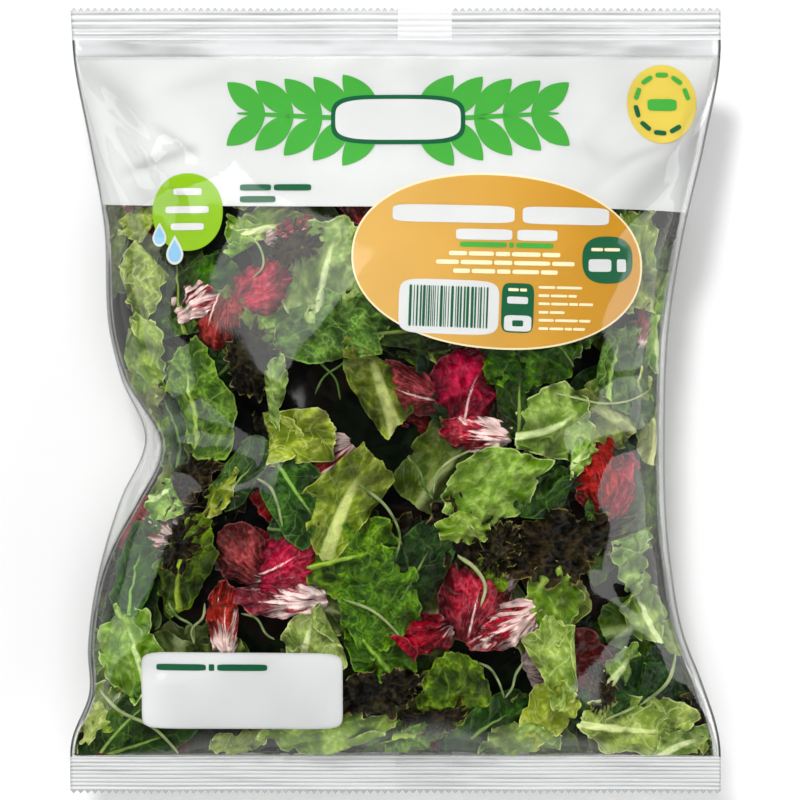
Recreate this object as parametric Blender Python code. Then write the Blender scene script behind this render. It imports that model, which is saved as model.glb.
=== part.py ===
"""A pillow bag of mixed salad leaves, lying on its back with its printed face up.

The bag is one closed solid: a tube of film, filled and rounded, pinched flat into a crimped seal at each end.
+X runs across the bag, +Y towards its top seal and +Z up. The origin is under the middle of the bag, on the
surface that it lies on. Lengths are in metres.
"""

import bmesh
import bpy
import numpy as np

# Driving dimensions
BAG_WIDTH = 0.240
BAG_LENGTH = 0.290
TOP_SEAL = 0.0120
BOTTOM_SEAL = 0.0135
DOME_HEIGHT = 0.064  # the filled middle, before the leaves' lumps
SEAL_HEIGHT = 0.022  # the pinched ends stand off the surface
SIDE_HEIGHT = 0.027  # the widest line of the filled tube's sides
SEAL_THICKNESS = 0.0008

# Outline: half-width on each side at heights up the bag, where only the turning points are named
LEFT_EDGE = (
    (-0.1450, 0.1200),
    (-0.1250, 0.1194),
    (-0.1080, 0.1130),
    (-0.0920, 0.1134),
    (-0.0660, 0.1100),
    (-0.0365, 0.1014),
    (-0.0140, 0.0922),
    (0.0080, 0.1010),
    (0.0220, 0.1047),
    (0.0670, 0.1077),
    (0.0960, 0.1130),
    (0.1260, 0.1187),
    (0.1450, 0.1200),
)
RIGHT_EDGE = (
    (-0.1450, 0.1200),
    (-0.1250, 0.1195),
    (-0.1030, 0.1128),
    (-0.0880, 0.1069),
    (-0.0590, 0.1014),
    (-0.0070, 0.0993),
    (0.0220, 0.1003),
    (0.0590, 0.1058),
    (0.0960, 0.1143),
    (0.1260, 0.1198),
    (0.1450, 0.1200),
)

# Fullness of the filled tube
END_FALL = 2.5  # how late the dome starts to fall towards a seal
END_ROUND = 0.66  # how steeply it then meets the seal
SIDE_FALL = 2.2
SIDE_ROUND = 0.58  # below 1 the sides are round, as in a full tube
SEAL_LENS = 0.35  # added to SIDE_ROUND at a seal, where the tube is pinched to a lens
LOWER_FULLNESS = 0.05  # the leaves have settled towards the bottom seal
FLAT_SHARE = 1.5  # how much of the underside the surface presses flat

# Seals
TOOTH_PITCH = BAG_WIDTH / 92
TOOTH_DEPTH = 0.0013
TOOTH_MARGIN = 0.0006
RIBS = 4
RIB_RELIEF = 0.0005
SEAL_WAVE = 0.0009
SEAL_WAVES = 3.5

# Folds in the film: start and end (across, up), width and depth; below zero is a crease
FOLDS = (
    ((-0.117, 0.128), (-0.070, 0.082), 0.0070, 0.0016),
    ((-0.113, 0.112), (-0.082, 0.060), 0.0060, -0.0016),
    ((0.118, 0.128), (0.096, 0.070), 0.0065, 0.0016),
    ((0.108, 0.126), (0.070, 0.092), 0.0060, -0.0014),
    ((-0.100, -0.010), (-0.048, -0.020), 0.0070, -0.0030),
    ((0.106, -0.004), (0.062, -0.016), 0.0070, -0.0020),
    ((-0.114, -0.124), (-0.078, -0.086), 0.0065, -0.0018),
    ((0.114, -0.124), (0.080, -0.088), 0.0065, -0.0018),
)
PUCKER_DEPTH = 0.0018
PUCKER_PITCH = 0.031
PUCKER_REACH = 0.018
LUMP_HEIGHT = 0.0011
LUMP_PITCH = 0.052

# Mesh: cells across the bag, and rows along its filled stretch
TEETH_PER_COLUMN = 2
COLUMNS = round(BAG_WIDTH / TOOTH_PITCH) // TEETH_PER_COLUMN
BODY_ROWS = 29
SIDE_CROWDING = 0.7  # how far the columns crowd to the round sides

TOP_LINE = BAG_LENGTH / 2 - TOP_SEAL
BOTTOM_LINE = -BAG_LENGTH / 2 + BOTTOM_SEAL


def smooth_curve(points, at):
    """A smooth curve through (position, value) points, as cubic pieces with averaged slopes."""
    place, value = np.array(points).T
    slope = np.gradient(value, place)
    piece = np.clip(np.searchsorted(place, at, side="right") - 1, 0, len(place) - 2)
    step = place[piece + 1] - place[piece]
    t = (at - place[piece]) / step
    start = (1 + 2 * t) * (1 - t) ** 2 * value[piece] + t * (1 - t) ** 2 * step * slope[piece]
    end = t**2 * (3 - 2 * t) * value[piece + 1] + t**2 * (t - 1) * step * slope[piece + 1]
    return start + end


def along(y):
    """-1 at the bottom seal's inner line to 1 at the top seal's, and beyond in the seals."""
    middle = (TOP_LINE + BOTTOM_LINE) / 2
    return (y - middle) / ((TOP_LINE - BOTTOM_LINE) / 2)


def across(t, y):
    """The x of the point a share t, from -1 to 1, of the way across the bag at height y."""
    left = smooth_curve(LEFT_EDGE, y)
    right = smooth_curve(RIGHT_EDGE, y)
    crowding = SIDE_CROWDING * np.clip(1 - along(y) ** 4, 0, 1)
    share = (1 - crowding) * t + crowding * np.sin(np.pi / 2 * t)
    x = (right - left) / 2 + (right + left) / 2 * share
    return np.clip(x, -BAG_WIDTH / 2, BAG_WIDTH / 2), share


def seam_height(x, y):
    """The height of the line where the front and the back of the film meet."""
    filled = np.clip(1 - along(y) ** 2, 0, 1)
    wave = SEAL_WAVE * np.sin(2 * np.pi * SEAL_WAVES * x / BAG_WIDTH + 20 * y)
    return SEAL_HEIGHT + (SIDE_HEIGHT - SEAL_HEIGHT) * filled + wave * (1 - filled)


def fullness(share, y):
    """0 on the seam line and the seals, to about 1 over the filled middle."""
    v = np.clip(np.abs(along(y)), 0, 1)
    lengthwise = (1 - v**END_FALL) ** END_ROUND
    crosswise = (1 - np.abs(share) ** SIDE_FALL) ** (SIDE_ROUND + SEAL_LENS * v**6)
    return lengthwise * crosswise * (1 - LOWER_FULLNESS * along(y) * (1 - v))


def folds(x, y):
    """The height of the film's folds and creases, each a ridge that fades towards its ends."""
    height = np.zeros_like(x)
    for start, end, width, depth in FOLDS:
        start, run = np.array(start), np.subtract(end, start)
        length = np.hypot(*run)
        t = ((x - start[0]) * run[0] + (y - start[1]) * run[1]) / length**2
        aside = ((x - start[0]) * run[1] - (y - start[1]) * run[0]) / length
        fade = np.sin(np.pi * np.clip(t, 0, 1)) ** 0.7
        height += depth * fade * np.exp(-((aside / width) ** 2))
    return height


def puckers(x, y):
    """Short gathers where the round tube is pinched into each seal."""
    height = np.zeros_like(x)
    for line, shift in ((TOP_LINE, 0.0), (BOTTOM_LINE, 1.9)):
        away = np.abs(y - line)
        fade = (1 - np.exp(-away / 0.004)) * np.exp(-away / PUCKER_REACH)
        swing = 2 * np.pi * x / PUCKER_PITCH + 1.3 * np.sin(2 * np.pi * x / 0.11) + shift
        height += PUCKER_DEPTH * fade * np.sin(swing)
    return height


def lumps(x, y):
    """Soft lumps where leaves press on the film from inside."""
    a = np.sin(2 * np.pi * (x + 0.4 * y) / LUMP_PITCH)
    b = np.sin(2 * np.pi * (y - 0.3 * x) / (1.2 * LUMP_PITCH) + 1.0)
    return LUMP_HEIGHT * (a * b + 0.5 * np.sin(2 * np.pi * (x - y) / (0.6 * LUMP_PITCH)))


def film_heights(x, share, y):
    """The heights of the front and the back of the bag over (x, y)."""
    seam = seam_height(x, y)
    full = fullness(share, y)
    relief = folds(x, y) + puckers(x, y) + lumps(x, y)
    dome = DOME_HEIGHT - SIDE_HEIGHT - SEAL_THICKNESS / 2
    front = seam + SEAL_THICKNESS / 2 + dome * full + relief * np.clip(3 * full, 0, 1)
    pressed = 1 - (1 - np.clip(FLAT_SHARE * full, 0, 1)) ** 2
    back = (seam - SEAL_THICKNESS / 2) * (1 - pressed)
    return front, back


def seal_rows(line, end):
    """The y and the rib relief of each row of a seal, from its inner line out to the foot of its teeth."""
    foot = end - np.sign(end - line) * (TOOTH_DEPTH + TOOTH_MARGIN)
    y = np.linspace(line, foot, 2 * RIBS + 2)[1:]
    relief = np.where(np.arange(len(y)) % 2 == 0, 0.5, -0.5) * RIB_RELIEF
    return y, relief


def sheet_rows():
    """Every row of the front and back sheets from the bottom seal to the top: its y and its rib relief."""
    low_y, low_relief = seal_rows(BOTTOM_LINE, -BAG_LENGTH / 2)
    high_y, high_relief = seal_rows(TOP_LINE, BAG_LENGTH / 2)
    t = np.sin(np.pi / 2 * np.linspace(-1, 1, BODY_ROWS + 1))
    body_y = (TOP_LINE + BOTTOM_LINE) / 2 + t * (TOP_LINE - BOTTOM_LINE) / 2
    y = np.concatenate([low_y[::-1], body_y, high_y])
    relief = np.concatenate([low_relief[::-1], np.zeros(len(body_y)), high_relief])
    return y, relief


def sheets():
    """The front and back points as two grids of rows by columns, each with its x, y and z."""
    row_y, relief = sheet_rows()
    t, y = np.meshgrid(np.linspace(-1, 1, COLUMNS + 1), row_y)
    x, share = across(t, y)
    front, back = film_heights(x, share, y)
    front = front + relief[:, None]
    back = back + relief[:, None]
    return np.stack([x, y, front], axis=-1), np.stack([x, y, back], axis=-1)


def teeth_row(foot_row, end):
    """The cut edge of a seal: four points to each column, alternately a notch and a tip."""
    steps = 2 * TEETH_PER_COLUMN
    column = np.arange(steps * COLUMNS + 1) / steps
    row = np.stack([np.interp(column, np.arange(COLUMNS + 1), foot_row[:, axis]) for axis in range(3)], axis=-1)
    tip = np.arange(len(row)) % 2 == 1
    row[:, 1] = end - np.sign(end) * np.where(tip, 0, TOOTH_DEPTH)
    return row


class SolidMesh:
    """Points and faces gathered from grids into one mesh."""

    def __init__(self):
        self.points = []
        self.faces = []

    def add_points(self, points):
        """Adds an array of points and returns their numbers in the same shape."""
        flat = points.reshape(-1, 3)
        first = len(self.points)
        self.points.extend(map(tuple, flat))
        return np.arange(first, first + len(flat)).reshape(points.shape[:-1])

    def add_strip(self, one, other):
        """Quads between two rows of the same length."""
        for k in range(len(one) - 1):
            self.faces.append((one[k], one[k + 1], other[k + 1], other[k]))

    def add_fan_strip(self, coarse, fine):
        """Triangles between a row and one with several times its points, which shares out to both ends."""
        steps = (len(fine) - 1) // (len(coarse) - 1)
        half = steps // 2
        for k in range(len(coarse) - 1):
            cell = fine[k * steps : (k + 1) * steps + 1]
            for j in range(steps):
                foot = coarse[k] if j < half else coarse[k + 1]
                self.faces.append((foot, cell[j], cell[j + 1]))
            self.faces.append((coarse[k], cell[half], coarse[k + 1]))

    def build(self, name):
        """The mesh datablock, with its faces turned outwards."""
        mesh = bpy.data.meshes.new(name)
        mesh.from_pydata(self.points, [], [tuple(int(i) for i in face) for face in self.faces])
        shape = bmesh.new()
        shape.from_mesh(mesh)
        bmesh.ops.recalc_face_normals(shape, faces=shape.faces)
        shape.to_mesh(mesh)
        shape.free()
        return mesh


def bag_mesh():
    """The whole bag: two sheets, joined along both sides and round the toothed ends."""
    solid = SolidMesh()
    front_points, back_points = sheets()
    front, back = solid.add_points(front_points), solid.add_points(back_points)
    for sheet in (front, back):
        for low, high in zip(sheet[:-1], sheet[1:]):
            solid.add_strip(low, high)
    for side in (0, -1):
        solid.add_strip(front[:, side], back[:, side])
    for row, end in ((0, -BAG_LENGTH / 2), (-1, BAG_LENGTH / 2)):
        front_teeth = solid.add_points(teeth_row(front_points[row], end))
        back_teeth = solid.add_points(teeth_row(back_points[row], end))
        solid.add_fan_strip(front[row], front_teeth)
        solid.add_fan_strip(back[row], back_teeth)
        solid.add_strip(front_teeth, back_teeth)
        for side in (0, -1):
            solid.faces.append((front[row, side], front_teeth[side], back_teeth[side], back[row, side]))
    return solid.build("bag")


def salad_film_material():
    """Clear glossy film over green leaves, as one plain colour."""
    material = bpy.data.materials.new("clear_film")
    material.use_nodes = True
    shader = material.node_tree.nodes["Principled BSDF"]
    shader.inputs["Base Color"].default_value = (0.20, 0.30, 0.09, 1)
    shader.inputs["Roughness"].default_value = 0.22
    shader.inputs["Metallic"].default_value = 0.0
    return material


def main():
    """Clears the scene and makes the bag."""
    for obj in list(bpy.data.objects):
        bpy.data.objects.remove(obj)
    mesh = bag_mesh()
    mesh.materials.append(salad_film_material())
    mesh.shade_smooth()
    mesh.set_sharp_from_angle(angle=np.radians(40))
    bag = bpy.data.objects.new("bag", mesh)
    bpy.context.scene.collection.objects.link(bag)


main()
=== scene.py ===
"""A clear pillow bag of mixed salad leaves: film, print and leaves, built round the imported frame."""

import itertools
import logging
import math
from dataclasses import dataclass, field, replace
from enum import Enum

import bpy
import numpy as np
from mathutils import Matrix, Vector


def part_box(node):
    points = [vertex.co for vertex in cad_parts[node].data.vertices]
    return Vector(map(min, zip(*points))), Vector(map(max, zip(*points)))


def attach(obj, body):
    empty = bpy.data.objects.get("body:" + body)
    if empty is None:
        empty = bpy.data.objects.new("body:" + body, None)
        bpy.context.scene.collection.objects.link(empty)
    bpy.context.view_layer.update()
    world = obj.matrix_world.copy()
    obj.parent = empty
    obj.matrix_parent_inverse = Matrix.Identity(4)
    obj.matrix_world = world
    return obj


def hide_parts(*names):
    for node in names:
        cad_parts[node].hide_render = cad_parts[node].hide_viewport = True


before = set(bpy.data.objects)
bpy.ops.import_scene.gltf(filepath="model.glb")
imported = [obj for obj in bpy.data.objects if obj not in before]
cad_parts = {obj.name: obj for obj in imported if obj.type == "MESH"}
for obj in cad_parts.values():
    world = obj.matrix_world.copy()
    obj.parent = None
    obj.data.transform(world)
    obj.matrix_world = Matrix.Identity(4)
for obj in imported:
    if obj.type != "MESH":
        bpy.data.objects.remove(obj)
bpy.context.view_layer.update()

LOG = logging.getLogger("salad_bag")
BODY = "root"
NODE = "bag"
MM = 0.001
#: Where the back seam's doubled film starts and ends across the bag.
FIN = (0.0009, 0.0208)
Colour = tuple[float, float, float]


def srgb(red: float, green: float, blue: float) -> Colour:
    """A colour given in the usual 0 to 255 screen values, as linear light.

    Args:
        red, green, blue: screen values.

    Returns:
        The linear colour, c = ((v + 0.055) / 1.055) ^ 2.4 for v above 0.04, else v / 12.92.
    """
    parts = [value / 255 for value in (red, green, blue)]
    return tuple(v / 12.92 if v <= 0.04045 else ((v + 0.055) / 1.055) ** 2.4 for v in parts)


class SmoothNoise:
    """Smooth random hills over a plane: gradient noise on a square lattice of random slopes."""

    SIDE = 64

    def __init__(self, seed: int) -> None:
        """Draws the lattice's slopes from the seed."""
        angle = np.random.default_rng(seed).uniform(0, 2 * np.pi, (self.SIDE, self.SIDE))
        self.slope = np.stack([np.cos(angle), np.sin(angle)], axis=-1)

    def __call__(self, x: np.ndarray, y: np.ndarray) -> np.ndarray:
        """The height at each point: the four corners' slopes, blended by 6t^5 - 15t^4 + 10t^3.

        Args:
            x, y: places in lattice steps.

        Returns:
            Heights of about -0.7 to 0.7.
        """
        left, low = np.floor(x).astype(int), np.floor(y).astype(int)
        u, v = x - left, y - low
        corner = []
        for i in (0, 1):
            for j in (0, 1):
                slope = self.slope[(left + i) % self.SIDE, (low + j) % self.SIDE]
                corner.append(slope[..., 0] * (u - i) + slope[..., 1] * (v - j))
        fade_u = u**3 * (u * (6 * u - 15) + 10)
        fade_v = v**3 * (v * (6 * v - 15) + 10)
        low_side = corner[0] * (1 - fade_v) + corner[1] * fade_v
        high_side = corner[2] * (1 - fade_v) + corner[3] * fade_v
        return low_side * (1 - fade_u) + high_side * fade_u


def smooth_curve(points: tuple, at: np.ndarray) -> np.ndarray:
    """A smooth curve through (position, value) points, as cubic pieces with averaged slopes.

    Args:
        points: the curve's points, by rising position.
        at: positions to read.

    Returns:
        The curve's value at each position.
    """
    place, value = np.array(points, float).T
    slope = np.gradient(value, place)
    piece = np.clip(np.searchsorted(place, at, side="right") - 1, 0, len(place) - 2)
    step = place[piece + 1] - place[piece]
    t = (at - place[piece]) / step
    start = (1 + 2 * t) * (1 - t) ** 2 * value[piece] + t * (1 - t) ** 2 * step * slope[piece]
    end = t**2 * (3 - 2 * t) * value[piece + 1] + t**2 * (t - 1) * step * slope[piece + 1]
    return start + end


def smooth_path(points: np.ndarray, count: int) -> np.ndarray:
    """A smooth line through points in any number of dimensions, by smooth_curve on each axis.

    Args:
        points: the line's own points, one row each.
        count: how many points to give back.

    Returns:
        The line's points, one row each, at even steps of its own length.
    """
    run = np.concatenate([[0.0], np.cumsum(np.linalg.norm(np.diff(points, axis=0), axis=1))])
    at = np.linspace(0, run[-1], count)
    return np.stack([smooth_curve(tuple(zip(run, axis)), at) for axis in points.T], axis=-1)


def step_up(value: np.ndarray, low: float, high: float) -> np.ndarray:
    """0 below low and 1 above high, with t^2 (3 - 2t) between."""
    t = np.clip((value - low) / (high - low), 0, 1)
    return t * t * (3 - 2 * t)


def turned(x: np.ndarray, y: np.ndarray, degrees: float) -> tuple[np.ndarray, np.ndarray]:
    """Places turned about the origin by an angle in degrees."""
    cos, sin = math.cos(math.radians(degrees)), math.sin(math.radians(degrees))
    return x * cos - y * sin, x * sin + y * cos


def rounded(angle: np.ndarray, power: float) -> np.ndarray:
    """The radius of a rounded square: (|cos|^p + |sin|^p)^(-1/p), a circle at 2 and nearly square at 12."""
    return (np.abs(np.cos(angle)) ** power + np.abs(np.sin(angle)) ** power) ** (-1 / power)


def grid_faces(number: np.ndarray) -> np.ndarray:
    """Quads over a grid of point numbers, row by row."""
    corners = [number[:-1, :-1], number[:-1, 1:], number[1:, 1:], number[1:, :-1]]
    return np.stack(corners, axis=-1).reshape(-1, 4)


# ------------------------------------------------------------------------------
# The bag's form
# ------------------------------------------------------------------------------


@dataclass(frozen=True)
class BagForm:
    """The filled tube of film, as two heights over the plane. Across is x, up the bag is y, in metres."""

    width: float
    length: float
    dome: float = 0.064
    top_seal: float = 0.0120
    bottom_seal: float = 0.0135
    seal_height: float = 0.022
    side_height: float = 0.027
    seal_thickness: float = 0.0008
    end_fall: float = 2.5
    end_round: float = 0.66
    side_fall: float = 2.2
    side_round: float = 0.58
    seal_lens: float = 0.35
    lower_fullness: float = 0.05
    flat_share: float = 1.5
    crowding: float = 0.7
    tooth_depth: float = 0.0013
    teeth: int = 92
    ribs: int = 4
    rib_relief: float = 0.0006
    seal_wave: float = 0.0009
    seal_waves: float = 3.5
    pucker_depth: float = 0.0018
    pucker_pitch: float = 0.031
    pucker_reach: float = 0.018
    lump_height: float = 0.00028
    lump_pitch: float = 0.052
    low_ribs: int = 7
    side_gap: tuple[float, float] = (0.0016, 0.0029)
    waist_gap: float = 0.0070
    waist: tuple[float, float] = (-0.028, 0.0235)
    left_edge: tuple = (
        (-0.1450, 0.1200),
        (-0.1250, 0.1194),
        (-0.1080, 0.1130),
        (-0.0920, 0.1134),
        (-0.0660, 0.1100),
        (-0.0365, 0.1014),
        (-0.0140, 0.0922),
        (0.0080, 0.1010),
        (0.0220, 0.1047),
        (0.0670, 0.1077),
        (0.0960, 0.1130),
        (0.1260, 0.1187),
        (0.1450, 0.1200),
    )
    right_edge: tuple = (
        (-0.1450, 0.1200),
        (-0.1250, 0.1195),
        (-0.1030, 0.1128),
        (-0.0880, 0.1069),
        (-0.0590, 0.1014),
        (-0.0070, 0.0993),
        (0.0220, 0.1003),
        (0.0590, 0.1058),
        (0.0960, 0.1143),
        (0.1260, 0.1198),
        (0.1450, 0.1200),
    )
    folds: tuple = (
        ((-0.117, 0.128), (-0.070, 0.082), 0.0070, 0.0016),
        ((-0.113, 0.112), (-0.082, 0.060), 0.0060, -0.0016),
        ((0.118, 0.128), (0.096, 0.070), 0.0065, 0.0016),
        ((0.108, 0.126), (0.070, 0.092), 0.0060, -0.0014),
        ((-0.100, -0.010), (-0.048, -0.020), 0.0070, -0.0030),
        ((0.106, -0.004), (0.062, -0.016), 0.0070, -0.0020),
        ((-0.114, -0.124), (-0.078, -0.086), 0.0065, -0.0018),
        ((0.114, -0.124), (0.080, -0.088), 0.0065, -0.0018),
    )
    creases: tuple = (
        ((-0.117, 0.130), (-0.086, 0.094), 0.0030, 0.0014),
        ((-0.106, 0.106), (-0.072, 0.070), 0.0034, 0.0014),
        ((-0.092, 0.082), (-0.080, 0.094), 0.0030, -0.0011),
        ((-0.098, 0.070), (-0.064, 0.082), 0.0028, 0.0010),
        ((0.114, 0.122), (0.098, 0.084), 0.0034, 0.0014),
        ((0.094, 0.094), (0.066, 0.072), 0.0028, -0.0008),
        ((0.104, 0.080), (0.078, 0.058), 0.0026, 0.0009),
        ((0.062, 0.094), (0.038, 0.090), 0.0022, 0.0005),
        ((-0.096, -0.004), (-0.060, 0.010), 0.0026, 0.0009),
        ((-0.096, -0.018), (-0.058, -0.034), 0.0026, 0.0009),
        ((0.098, 0.010), (0.066, 0.004), 0.0022, 0.0006),
        ((0.100, -0.090), (0.070, -0.060), 0.0024, -0.0006),
        ((-0.108, -0.100), (-0.070, -0.070), 0.0024, 0.0007),
    )

    @property
    def top_line(self) -> float:
        """The inner line of the top seal."""
        return self.length / 2 - self.top_seal

    @property
    def bottom_line(self) -> float:
        """The inner line of the bottom seal."""
        return -self.length / 2 + self.bottom_seal

    def along(self, y: np.ndarray) -> np.ndarray:
        """-1 at the bottom seal's inner line to 1 at the top seal's, and beyond in the seals."""
        middle = (self.top_line + self.bottom_line) / 2
        return (y - middle) / ((self.top_line - self.bottom_line) / 2)

    def edges(self, y: np.ndarray) -> tuple[np.ndarray, np.ndarray]:
        """The x of the left and the right edge at each height up the bag."""
        return -smooth_curve(self.left_edge, y), smooth_curve(self.right_edge, y)

    def side_gaps(self, y: np.ndarray) -> tuple[np.ndarray, np.ndarray]:
        """The empty pleat's width along the left and right side: wider by a bell curve at the waist."""
        waisted = np.exp(-(((y - self.waist[0]) / self.waist[1]) ** 2))
        return self.side_gap[0] + self.waist_gap * waisted, self.side_gap[1] + 0 * waisted

    def across(self, t: np.ndarray, y: np.ndarray) -> tuple[np.ndarray, np.ndarray]:
        """The point a share t of the way across: x is the middle plus the half-width times a share that
        crowds to the sides as t turns into sin(pi t / 2).

        Args:
            t: -1 at the left edge to 1 at the right.
            y: heights up the bag.

        Returns:
            The x and the true share across, -1 to 1.
        """
        left, right = self.edges(y)
        crowding = self.crowding * np.clip(1 - self.along(y) ** 4, 0, 1)
        share = (1 - crowding) * t + crowding * np.sin(np.pi / 2 * t)
        x = (right + left) / 2 + (right - left) / 2 * share
        return np.clip(x, -self.width / 2, self.width / 2), share

    def share_at(self, x: np.ndarray, y: np.ndarray) -> np.ndarray:
        """The share across, -1 to 1, of a point (x, y)."""
        left, right = self.edges(y)
        return np.clip((2 * x - right - left) / (right - left), -1, 1)

    def seam(self, x: np.ndarray, y: np.ndarray) -> np.ndarray:
        """The height of the line where front and back meet: the side's height in the filled middle, the
        seal's height at the ends, with a slow sine wave along each seal."""
        filled = np.clip(1 - self.along(y) ** 2, 0, 1)
        wave = self.seal_wave * np.sin(2 * np.pi * self.seal_waves * x / self.width + 20 * y)
        return self.seal_height + (self.side_height - self.seal_height) * filled + wave * (1 - filled)

    def fullness(self, share: np.ndarray, y: np.ndarray) -> np.ndarray:
        """0 on the seams to about 1 over the middle: (1 - v^a)^b lengthwise times (1 - u^c)^d crosswise."""
        v = np.clip(np.abs(self.along(y)), 0, 1)
        lengthwise = (1 - v**self.end_fall) ** self.end_round
        power = self.side_round + self.seal_lens * v**6
        crosswise = (1 - np.abs(share) ** self.side_fall) ** power
        return lengthwise * crosswise * (1 - self.lower_fullness * self.along(y) * (1 - v))

    @staticmethod
    def ridges(x: np.ndarray, y: np.ndarray, rows: tuple) -> np.ndarray:
        """Straight ridges or creases: depth times sin(pi t)^0.7 along each, times exp(-(aside / width)^2).

        Args:
            x, y: places.
            rows: (start, end, width, depth) of each ridge.

        Returns:
            The height at each place.
        """
        height = np.zeros_like(x)
        for start, end, width, depth in rows:
            run = np.subtract(end, start)
            length = np.hypot(*run)
            t = ((x - start[0]) * run[0] + (y - start[1]) * run[1]) / length**2
            aside = ((x - start[0]) * run[1] - (y - start[1]) * run[0]) / length
            fade = np.sin(np.pi * np.clip(t, 0, 1)) ** 0.7
            height += depth * fade * np.exp(-((aside / width) ** 2))
        return height

    def puckers(self, x: np.ndarray, y: np.ndarray) -> np.ndarray:
        """Gathers at each seal: a sine across, which rises over 4 mm and dies away with the reach."""
        height = np.zeros_like(x)
        for line, shift in ((self.top_line, 0.0), (self.bottom_line, 1.9)):
            away = np.abs(y - line)
            fade = (1 - np.exp(-away / 0.004)) * np.exp(-away / self.pucker_reach)
            swing = 2 * np.pi * x / self.pucker_pitch + 1.3 * np.sin(2 * np.pi * x / 0.11) + shift
            height += self.pucker_depth * fade * np.sin(swing)
        return height

    def lumps(self, x: np.ndarray, y: np.ndarray) -> np.ndarray:
        """Soft lumps where leaves press on the film: products and sums of slanted sines."""
        a = np.sin(2 * np.pi * (x + 0.4 * y) / self.lump_pitch)
        b = np.sin(2 * np.pi * (y - 0.3 * x) / (1.2 * self.lump_pitch) + 1.0)
        c = np.sin(2 * np.pi * (x - y) / (0.6 * self.lump_pitch))
        return self.lump_height * (a * b + 0.5 * c)

    def crinkles(self, x: np.ndarray, y: np.ndarray) -> np.ndarray:
        """The film's finer relief: named creases, fan creases from each corner, and small uneven dents."""
        hills = SmoothNoise(11)
        height = self.ridges(x, y, self.creases)
        for side, line in itertools.product((-1, 1), (self.top_line, self.bottom_line)):
            dx, dy = x - side * self.width / 2, y - line
            reach = np.hypot(dx, dy)
            turn = np.arctan2(np.abs(dy), np.abs(dx))
            swing = 7.5 * turn + 30 * reach + 2.0 * hills(reach / 0.03, turn * 2 + side)
            fade = np.exp(-((reach / 0.055) ** 2)) * (1 - np.exp(-((reach / 0.012) ** 2)))
            height += 0.00030 * fade * (1 - 2 * np.abs(np.sin(swing)))
        height += 0.00022 * hills(x / 0.021, y / 0.026) + 0.00005 * hills(x / 0.0085 + 9, y / 0.010)
        return height

    def front(self, x: np.ndarray, share: np.ndarray, y: np.ndarray) -> np.ndarray:
        """The film's upper height: seam, plus dome times fullness, plus relief where it is full."""
        full = self.fullness(share, y)
        relief = self.ridges(x, y, self.folds) + self.puckers(x, y)
        relief = relief + self.lumps(x, y) + self.crinkles(x, y)
        dome = self.dome - self.side_height - self.seal_thickness / 2
        return self.seam(x, y) + self.seal_thickness / 2 + dome * full + relief * np.clip(3 * full, 0, 1)

    def back(self, x: np.ndarray, share: np.ndarray, y: np.ndarray) -> np.ndarray:
        """The film's lower height, which falls from the seam to a flat pressed spot at 0."""
        full = self.fullness(share, y)
        pressed = 1 - (1 - np.clip(self.flat_share * full, 0, 1)) ** 2
        return (self.seam(x, y) - self.seal_thickness / 2) * (1 - pressed)

    def front_point(self, x: np.ndarray, y: np.ndarray, below: float = 0.0) -> np.ndarray:
        """Points under the film's front, square to it.

        Args:
            x, y: places in the plane.
            below: how far under the film.

        Returns:
            Points, the last axis being x, y and z: p - below * n, with n from the height's slopes.
        """
        step = 0.0004
        z = self.front(x, self.share_at(x, y), y)
        slope_x = (self.front(x + step, self.share_at(x + step, y), y) - z) / step
        slope_y = (self.front(x, self.share_at(x, y + step), y + step) - z) / step
        size = np.sqrt(1 + slope_x**2 + slope_y**2)
        shift = below / size
        return np.stack([x + slope_x * shift, y + slope_y * shift, z - shift], axis=-1)


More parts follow.
